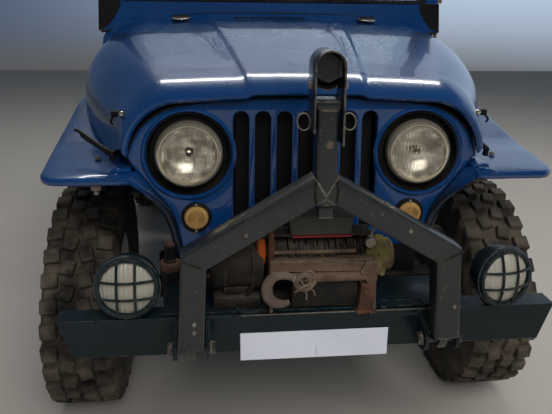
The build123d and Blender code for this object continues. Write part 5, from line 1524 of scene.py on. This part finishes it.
def cowlHeight(x):
    # the hood's rear section: flat top, then the shoulder's quarter circle
    half, crown, radius = hoodSettings["widths"][-1][1:]
    top, flat = hoodSettings["profile"][-1][1], half - radius
    beyond = np.maximum(np.abs(x) - flat, 0)
    return top - crown * np.minimum(np.abs(x) / flat, 1) ** 2 - radius + np.sqrt(radius ** 2 - beyond ** 2)


def cowlStripPart():
    # strip that climbs from the hood's rear edge to the windshield's foot, section by section across the body
    rings = []
    share = np.linspace(0, 1, 8)
    for x in np.linspace(-722, 722, 81):
        base = float(cowlHeight(x))
        rise = 25 + 40 * np.interp(abs(x), (600, 700), (0, 1))
        y = np.concatenate([508 + 50 * share, [558, 508]])
        z = np.concatenate([base + 1.5 + rise * share ** 1.25, [base - 14, base - 14]])
        rings.append(np.column_stack([np.full(len(y), x), y, z]))
    return ringLoft(rings)


def footSealPart():
    line = mirroredLine(smoothPath(windshieldSettings["foot"], 6))
    path = np.stack([line[:, 0], 0 * line[:, 0] + windshieldSettings["y"] - 9, line[:, 1] - 1], -1)
    path = path[np.abs(path[:, 0]) < 728]
    path = path[np.argsort(path[:, 0])]
    return leaned(sweptPart(path, circleProfile(6.5, 10), (0, 1, 0)))


addPiece("cowl_strip", cowlStripPart(), bluePaint, "chassis", slotName="blue_paint")
# flat black strip on the cowl behind the hood: its black is painted shade of the slot's depth
addPiece("cowl_slot_shade", roundBox((-172, 132), (521, 534), (1310, 1322.5), 2), blackPlastic, "chassis",
         slotName="black_plastic")
addPiece("foot_seal", footSealPart(), sealRubber, "windshield", slotName="black_plastic")
given = windshieldSettings
gusset = platePoly(given["corners"], (given["y"] - 17, given["y"] - 11.5), 1)
addMesh("windshield_panel", windshieldMesh(), bluePaint, "windshield", ["windshield_frame"])
addPiece("windshield_seal", windowSeal(), sealRubber, "windshield", slotName="black_plastic")
addPiece("windshield_corners", leaned(joined(gusset, mirrored(gusset))), blackSteel, "windshield",
         slotName="black_steel")
addPiece("wipers", leaned(joined(wiperPart(-330), wiperPart(250))), blackPlastic, "windshield",
         slotName="black_plastic")
hinges = [joined(turnedPart([(0, x - 30), (11, x - 30), (11, x + 30), (0, x + 30)], (0, given["y"], given["hingeZ"]),
                            "X", 20)) for x in (-620, 620)]
addPiece("windshield_hinges", joined(*hinges), blackSteel, "windshield", slotName="black_steel")
print("windshield made")

# Seats: each cushion is swollen by a short cloth simulation, then gets its channels and piping
driverX = 320
cushionSettings = {
    "margin": 11, "voxel": 0.009, "pressure": 4.0, "frames": 20, "groove": 4.0, "grooveWidth": 9.0, "piping": 4.2,
    # name: middle, half sizes, (lean in degrees, pivot y, pivot z), places of the channels along x,
    # axis that swells, cap in mm
    "seat_bottom": ((0, 1467.5, 775.2), (205, 197.5, 74.8), (0, 0, 0), (-110, -37, 37, 110), 2, 22),
    "seat_back": ((0, 1750, 1025), (205, 50, 285), (12, 1700, 700), (-110, -37, 37, 110), 1, 22),
    "bench_bottom": ((0, 2350, 820.2), (430, 190, 59.8), (0, 0, 0), (-310, -190, -65, 65, 190, 310), 2, 20),
    "bench_back": ((0, 2580.2, 970.2), (430, 39.8, 209.8), (0, 0, 0), (-310, -190, -65, 65, 190, 310), 1, 18),
}


def swollenMesh(name, half, cap):
    # remeshed block, blown up from inside by the cloth's pressure and stopped at the cap
    given = cushionSettings
    inner = np.array(half) - given["margin"]
    start = makeMesh(name, roundBox((-inner[0], inner[0]), (-inner[1], inner[1]), (-inner[2], inner[2]), 22, 4))
    start.transform(Matrix.Translation((-axleShift).tolist()))
    piece = bpy.data.objects.new(name, start)
    bpy.context.scene.collection.objects.link(piece)
    remesh = piece.modifiers.new("even", "REMESH")
    remesh.mode = "VOXEL"
    remesh.voxel_size = given["voxel"]
    mesh = bpy.data.meshes.new_from_object(piece.evaluated_get(bpy.context.evaluated_depsgraph_get()))
    piece.modifiers.clear()
    piece.data = mesh
    rest = readPoints(mesh)
    cloth = piece.modifiers.new("blown", "CLOTH")
    cloth.settings.use_pressure = True
    cloth.settings.uniform_pressure_force = given["pressure"]
    cloth.settings.effector_weights.gravity = 0
    cloth.point_cache.frame_start, cloth.point_cache.frame_end = 1, given["frames"]
    for step in range(1, given["frames"] + 1):
        bpy.context.scene.frame_set(step)
    blown = bpy.data.meshes.new_from_object(piece.evaluated_get(bpy.context.evaluated_depsgraph_get()))
    shift = readPoints(blown) - rest
    far = np.linalg.norm(shift, axis=1, keepdims=True)
    rest = rest + shift * np.minimum(1, cap / np.maximum(far, 1e-6))
    piece.modifiers.clear()
    bpy.context.scene.frame_set(1)
    writePoints(mesh, rest)
    finer = piece.modifiers.new("finer", "SUBSURF")
    finer.levels = finer.render_levels = 1
    result = bpy.data.meshes.new_from_object(piece.evaluated_get(bpy.context.evaluated_depsgraph_get()))
    bpy.data.objects.remove(piece)
    return result


def readPoints(mesh):
    flat = np.zeros(len(mesh.vertices) * 3)
    mesh.vertices.foreach_get("co", flat)
    return flat.reshape(-1, 3) * 1000


def writePoints(mesh, points):
    mesh.vertices.foreach_set("co", (points / 1000).ravel())
    mesh.update()


def dressCushion(mesh, half, channels, face):
    # channels: a smooth groove where the distance to a seam is small, fading out near the edges; then
    # the box's own limits
    given = cushionSettings
    half = np.array(half)
    points = readPoints(mesh)
    other = 3 - face
    edge = np.clip((half[other] - 26 - np.abs(points[:, other])) / 30, 0, 1)
    onTop = np.clip(points[:, face] * (1 if face == 2 else -1) / (half[face] * 0.5), 0, 1)
    depth = sum(np.exp(-((points[:, 0] - x) / given["grooveWidth"]) ** 2) for x in channels)
    points[:, face] -= (1 if face == 2 else -1) * given["groove"] * depth * edge * onTop
    wave = np.sin(points[:, 0] * 0.045 + 1.3) * np.sin(points[:, other] * 0.038 + 0.4)
    points[:, face] -= (1 if face == 2 else -1) * 1.3 * wave * onTop
    points = np.clip(points, -half, half)
    writePoints(mesh, points)
    return points


def pipingPart(points, half, face):
    # cord sewn round the cushion's edge: each point of a rounded rectangle drawn to the nearest point of the cushion
    given = cushionSettings
    other = 3 - face
    ring = roundedSquare(half[0] - 14, 34, 6, half[other] - 14)
    ring = np.concatenate([ring, ring[:1]])
    length = np.concatenate([[0], np.cumsum(np.linalg.norm(np.diff(ring, axis=0), axis=1))])
    at = np.linspace(0, length[-1], 181)[:-1]
    path = np.zeros((len(at), 3))
    path[:, 0], path[:, other] = np.interp(at, length, ring[:, 0]), np.interp(at, length, ring[:, 1])
    path[:, face] = (half[face] * 0.62) * (1 if face == 2 else -1)
    nearest = np.array([points[np.argmin(((points - spot) ** 2).sum(axis=1))] for spot in path])
    nearest = (np.roll(nearest, 1, 0) + nearest + np.roll(nearest, -1, 0)) / 3
    limit = np.array(half) - given["piping"]
    up = [0, 0, 0]
    up[face] = 1
    return sweptPart(np.clip(nearest, -limit, limit), circleProfile(given["piping"], 8), tuple(up), closed=True)


def placedCushion(name, x):
    middle, _, (lean, pivotY, pivotZ), *_ = cushionSettings[name]
    pivot = np.array([0, pivotY, pivotZ])

    def place(points):
        turned = points + np.array(middle) - pivot
        if lean:
            turned = turned @ np.array(Matrix.Rotation(math.radians(-lean), 3, "X")).T
        return turned + pivot + np.array([x, 0, 0])

    return place


cushionParts, pipingParts = [], []
for name, places in (("seat_bottom", (-driverX, driverX)), ("seat_back", (-driverX, driverX)), ("bench_bottom", (0,)),
                     ("bench_back", (0,))):
    middle, half, lean, channels, face, cap = cushionSettings[name]
    blown = swollenMesh(name, half, cap)
    points = dressCushion(blown, half, channels, face)
    corners = np.zeros(len(blown.loops), int)
    blown.loops.foreach_get("vertex_index", corners)
    piping = pipingPart(points, half, face)
    for x in places:
        place = placedCushion(name, x)
        cushionParts.append((place(points), corners.reshape(-1, 4)))
        pipingParts.append((place(piping[0]), piping[1]))
cushions = addPiece("cushions", joined(*cushionParts), vinyl, bodyOf["seat_cushions"], ["seat_cushions"],
                    smoothAngle=60)
addPiece("cushion_piping", joined(*pipingParts), blackPlastic, bodyOf["seat_cushions"], slotName="black_plastic")
print("seats made:", len(cushions.data.vertices), "points")

# Steering wheel with a gripped rim and pierced spokes, and the gauges before it
wheelSettings = {"centre": (320, 920.6, 1194.2), "turn": -57, "radius": 200, "rim": 12.5, "grips": 40}


def steeringPart():
    given = wheelSettings
    angle = np.linspace(0, 2 * math.pi, given["grips"] * 5, endpoint=False)
    ripple = given["rim"] * (1 - 0.07 * np.maximum(0, np.cos(angle * given["grips"])) ** 2)
    around = np.linspace(0, 2 * math.pi, 16, endpoint=False)
    reach = given["radius"] + ripple[:, None] * np.cos(around)
    height = ripple[:, None] * np.sin(around) * np.where(np.sin(around) < 0, 1.1, 1.0)
    points = np.stack([reach * np.cos(angle)[:, None], reach * np.sin(angle)[:, None], height], -1).reshape(-1, 3)
    rim = (points, gridQuads(len(angle), 16, True, True))
    hub = turnedPart([(0, -26), (30, -26), (38, -20), (38, 2), (34, 8), (26, 12), (0, 14)], (0, 0, 0), "Z", 40)
    parts = [rim, hub]
    for turn in (90, 210, 330):
        for offset in (-9, 9):
            rod = taperedTube([(26, offset * 1.5, -8, 6), (90, offset, -9, 5), (150, offset, -6, 5),
                               (194, offset * 1.6, -2, 6)], 5, 10, (0, 0, 1))
            parts.append(moved(rod, turn=(turn, "Z")))
    return moved(moved(joined(*parts), turn=(given["turn"], "X")), given["centre"])


def gaugePart():
    # bezel, dial, marks and needle of each gauge on the dashboard's rear face
    bezels, dials, marks, needles = [], [], [], []
    for x, z, radius in ((20, 1196, 60), (-78, 1210, 27), (-142, 1210, 27), (118, 1210, 27), (182, 1210, 27)):
        edge = [(radius - 5, 2), (radius - 4, 7), (radius - 1, 9), (radius + 2, 6), (radius + 3, 0), (radius - 5, 0)]
        bezels.append(turnedPart(edge, (x, 691, z), "Y", 48, True))
        dials.append(turnedPart([(0, 2.5), (radius - 4, 2.5), (radius - 4, 0), (0, 0)], (x, 691, z), "Y", 40))
        for turn in np.linspace(-130, 130, 11 if radius > 40 else 5):
            mark = roundBox((-0.8, 0.8), (2.6, 3.4), (radius * 0.72, radius * 0.86), 0.3, 1)
            marks.append(moved(moved(mark, turn=(turn, "Y")), (x, 691, z)))
        needle = roundBox((-1, 1), (3.5, 4.5), (-radius * 0.15, radius * 0.66), 0.4, 1)
        needles.append(moved(moved(needle, turn=(-70 if radius > 40 else 25, "Y")), (x, 691, z)))
    for x in (-190, -230, 240, 280, 320):
        bezels.append(turnedPart([(4, 0), (4, 12), (9, 13), (11, 17), (11, 24), (8, 27), (0, 27)], (x, 691, 1160),
                                 "Y", 20))
    return joined(*bezels), joined(*dials), joined(*marks), joined(*needles)


for name, part, material, slotName in zip(("gauge_bezels", "gauge_dials", "gauge_marks", "gauge_needles"),
                                          gaugePart(),
                                          (brightRing, blackPlastic, plateWhite, redEdge),
                                          ("bright_ring", "black_plastic", "plate_white", "rusty_steel")):
    addPiece(name, part, material, "chassis", slotName=slotName)
addPiece("steering_rim", steeringPart(), blackPlastic, bodyOf["steering_wheel"], ["steering_wheel"], smoothAngle=50)

# Roll hoop of round tube with its braces, welds and bolted feet
hoopSettings = {"y": 1965, "half": 480, "top": 1640, "bend": 120, "radius": 25, "foot": 600, "braceY": 2480,
                "braceRadius": 20}


def hoopPart():
    given = hoopSettings
    half, top, bend = given["half"], given["top"], given["bend"]
    arc = np.linspace(math.pi, math.pi / 2, 13)
    left = np.stack([-half + bend + bend * np.cos(arc), top - bend + bend * np.sin(arc)], -1)
    line = np.concatenate([[(-half, given["foot"])], left, left[::-1] * np.array([-1, 1]), [(half, given["foot"])]])
    path = np.stack([line[:, 0], 0 * line[:, 0] + given["y"], line[:, 1]], -1)
    parts = [sweptPart(path, circleProfile(given["radius"], 28), (0, 1, 0))]
    for side in (-1, 1):
        x = side * half
        high, low = np.array([x, given["y"], top - 160]), np.array([x, given["braceY"], given["foot"] + 20])
        parts.append(straightTube(high, low, given["braceRadius"], 24))
        for y0, y1, z in ((given["braceY"] - 50, given["braceY"] + 40, 612), (given["y"] - 50, given["y"] + 50, 608)):
            parts.append(roundBox((x - 38, x + 38), (y0, y1), (600, z), 2))
            parts += [hexBolt((x + dx, (y0 + y1) / 2 + dy, z), "Z", 15, 8, 11) for dx in (-26, 26) for dy in (-38,
                    36)]
        turn = np.linspace(0, 2 * math.pi, 25)
        slope = (low - high) / np.linalg.norm(low - high)
        across, over = np.array([1.0, 0, 0]), np.cross(slope, [1.0, 0, 0])
        ring = high + slope * 34 + (given["braceRadius"] + 1) * (np.cos(turn)[:,
                None] * across + 1.35 * np.sin(turn)[:, None] * over)
        parts.append(weldPart(ring, 4.5, 2))
        base = np.stack([x + 26 * np.cos(turn), given["y"] + 26 * np.sin(turn), 0 * turn + 609], -1)
        parts.append(weldPart(base, 4, 5))
    return joined(*parts)


addPiece("roll_hoop", hoopPart(), blackSteel, bodyOf["roll_bar"], ["roll_bar"])
print("cabin made")

# Small trim of the tub: rolled rims, filler cap, grab handles, hooks and the rear panel's latches
tubSettings = {"x": 730, "top": 1045, "rimStart": 1276, "rearY": 2680, "rim": 7.5}


def tubTrimPart():
    given = tubSettings
    x, top = given["x"] - 9, given["top"] + 2
    rim = circleProfile(given["rim"], 12)
    rear = given["rearY"] - 12
    line = [(x, given["rimStart"], top), (x, rear - 30, top), (x - 9, rear - 9, top), (x - 30, rear, top),
            (0, rear, top)]
    half = np.array(line, float)
    path = np.concatenate([half, half[-2::-1] * np.array([-1, 1, 1])])
    parts = [sweptPart(path, rim, (0, 0, 1))]
    for side in (-1, 1):
        for y in (1330, 1700, 2080, 2400):
            parts.append(moved(turnedPart([(0, -4), (9, -3), (12, 0), (12, 3), (0, 3)], (0, 0, 0), "X", 18),
                               (side * 731, y, 1006)))
    return joined(*parts)


def tubHardwarePart():
    parts = []
    cap = [(0, 22), (30, 22), (36, 18), (38, 12), (38, 4), (44, 3), (46, 0), (0, 0)]
    parts.append(moved(turnedPart([(r, -d) for r, d in cap], (0, 0, 0), "X", 40), (-730, 1560, 925)))
    for side in (-1, 1):
        grip = [(side * 731, 1290, 985), (side * 752, 1292, 985), (side * 756, 1310, 985), (side * 756, 1400, 985),
                (side * 752, 1418, 985), (side * 731, 1420, 985)]
        parts.append(tube(grip, 6, 6, 12, (0, 0, 1)))
        for z in (640, 980):
            parts.append(roundBox((side * 690 - 22, side * 690 + 22), (2678, 2688), (z - 14, z + 14), 3))
        hook = [(side * 731, 1296, 880), (side * 748, 1296, 880), (side * 756, 1298, 888), (side * 756, 1300, 902)]
        parts.append(tube(hook, 4, 5, 10, (0, 1, 0)))
    return joined(*parts)


addPiece("tub_rim", tubTrimPart(), bluePaint, "chassis", slotName="blue_paint")
addPiece("tub_hardware", tubHardwarePart(), blackSteel, "chassis", slotName="black_steel")
print("trim made")

# Pieces of the frame and body that keep the solid's own shape, with rounded edges
dressed = [
    # (node, edge width in millimetres)
    ("frame_rails", 3), ("front_bumper", 3), ("rear_bumper", 3), ("cowl", 3), ("body_side_left", 4),
    ("body_side_right", 4), ("floor", 1.5), ("rear_panel", 4), ("seat_frames", 3), ("engine_block", 10),
    ("radiator", 3),
    ("exhaust", 1), ("axles", 2), ("suspension", 1), ("knuckle_left", 1.5), ("knuckle_right", 1.5),
    ("propshafts", 1.5),
    ("tie_rod", 1.5), ("driver_controls", 2),
]
for node, width in dressed:
    softEdged(node, slotFinish[slotOf[node]], width)
softEdged("side_mirror", brownSteel, 4)
print("solids dressed")

# Floor, light and camera
sceneSettings = {
    "floorColour": (182, 176, 166), "skyLeft": (78, 96, 124), "skyRight": (192, 210, 232), "skyTop": (74, 82, 92),
    "skyFront": (58, 64, 72), "ground": (96, 92, 86),
    "worldStrength": 0.85, "keyPower": 320.0, "keySize": 4.0, "fillPower": 50.0, "bandPower": 130.0,
}
cameraSettings = {
    # in millimetres from the front axle, and degrees, found from the lamps, grille and bumper in the photo
    "place": (-258.9, -2086.9, 1392.7), "yaw": 5.94, "pitch": -10.06, "roll": 0.78,
    "focalPixels": 607.9, "imageWidth": 552, "imageHeight": 414, "axisRow": 108.5,
}


def makeFloor():
    points = np.array([[-9000, -9000, 0], [9000, -9000, 0], [9000, 9000, 0], [-9000, 9000, 0]], float)
    mesh = bpy.data.meshes.new("floor")
    mesh.from_pydata((points / 1000).tolist(), [], [(0, 1, 2, 3)])
    floor = bpy.data.objects.new("floor", mesh)
    bpy.context.scene.collection.objects.link(floor)
    material, tree, shader = newMaterial("floor_finish", {"Specular IOR Level": 0.2})
    grain = groupNode(tree, grainGroup, Scale=40.0, Coarse=1.2)
    tint = mixColour(tree, grain.outputs["Blotches"], colour(*sceneSettings["floorColour"]),
                     colour(*[v * 0.94 for v in sceneSettings["floorColour"]]))
    tree.links.new(tint, shader.inputs["Base Color"])
    tree.links.new(mathNode(tree, "ADD", mathNode(tree, "MULTIPLY", grain.outputs["Height"], 0.1), 0.75),
                   shader.inputs["Roughness"])
    floor.data.materials.append(material)


def makeWorld():
    world = bpy.data.worlds.new("softDay")
    bpy.context.scene.world = world
    world.use_nodes = True
    tree = world.node_tree
    background = tree.nodes["Background"]
    direction = addNode(tree, "ShaderNodeTexCoord").outputs["Generated"]
    # bright and low behind the vehicle under a dim roof, so that the hood's top is pale and its front bend stays deep
    split = addNode(tree, "ShaderNodeSeparateXYZ", {"Vector": direction})
    toBack = split.outputs["Y"]
    back = mixColour(tree, rampNode(tree, split.outputs["X"], -0.45, 0.4), colour(*sceneSettings["skyLeft"]),
                     colour(*sceneSettings["skyRight"]))
    sky = mixColour(tree, rampNode(tree, split.outputs["Z"], 0.42, 0.6), back, colour(*sceneSettings["skyTop"]))
    sky = mixColour(tree, rampNode(tree, toBack, -0.05, -0.2), sky, colour(*sceneSettings["skyFront"]))
    full = mixColour(tree, rampNode(tree, split.outputs["Z"], -0.15, 0.02), colour(*sceneSettings["ground"]), sky)
    tree.links.new(full, background.inputs["Color"])
    background.inputs["Strength"].default_value = sceneSettings["worldStrength"]


def areaLight(name, place, target, power, size, deep=None, shines=True):
    lamp = bpy.data.lights.new(name, "AREA")
    lamp.energy = power
    lamp.shape = "RECTANGLE"
    lamp.size, lamp.size_y = size, deep or size
    obj = bpy.data.objects.new(name, lamp)
    bpy.context.scene.collection.objects.link(obj)
    obj.location = place
    obj.visible_glossy = shines
    away = Matrix.Translation(place).to_translation() - Matrix.Translation(target).to_translation()
    obj.rotation_euler = away.to_track_quat("Z", "Y").to_euler()


def makeCamera():
    given = cameraSettings
    yaw, pitch, roll = (math.radians(given[key]) for key in ("yaw", "pitch", "roll"))
    forward = np.array([math.sin(yaw) * math.cos(pitch), math.cos(yaw) * math.cos(pitch), math.sin(pitch)])
    right = np.array([math.cos(yaw), -math.sin(yaw), 0.0])
    up = np.cross(right, forward)
    turnedRight = math.cos(roll) * right + math.sin(roll) * up
    turnedUp = -math.sin(roll) * right + math.cos(roll) * up
    data = bpy.data.cameras.new("photoView")
    data.sensor_width = 36
    data.lens = given["focalPixels"] / given["imageWidth"] * data.sensor_width
    data.shift_y = (given["axisRow"] - given["imageHeight"] / 2) / given["imageWidth"]
    data.clip_end = 60
    camera = bpy.data.objects.new("photoView", data)
    bpy.context.scene.collection.objects.link(camera)
    matrix = np.eye(4)
    matrix[:3, 0], matrix[:3, 1], matrix[:3, 2] = turnedRight, turnedUp, -forward
    matrix[:3, 3] = np.array(given["place"]) / 1000 + axleShift
    camera.matrix_world = Matrix(matrix.tolist())
    bpy.context.scene.camera = camera


makeFloor()
makeWorld()
areaLight("key", (0.6, -6.0, 4.8), (0, -1.2, 0.6), sceneSettings["keyPower"], sceneSettings["keySize"], shines=False)
areaLight("fill", (4.5, -2.0, 3.0), (0, 0, 0.8), sceneSettings["fillPower"], 3.0, shines=False)
# the long light overhead shows as a bright band along the bend at the hood's front
areaLight("band", (0.6, 2.4, 5.0), (0.2, -1.4, 1.1), sceneSettings["bandPower"], 5.0, 0.7)
makeCamera()
bpy.context.scene.view_settings.view_transform = "Standard"
print("floor, light and camera placed")
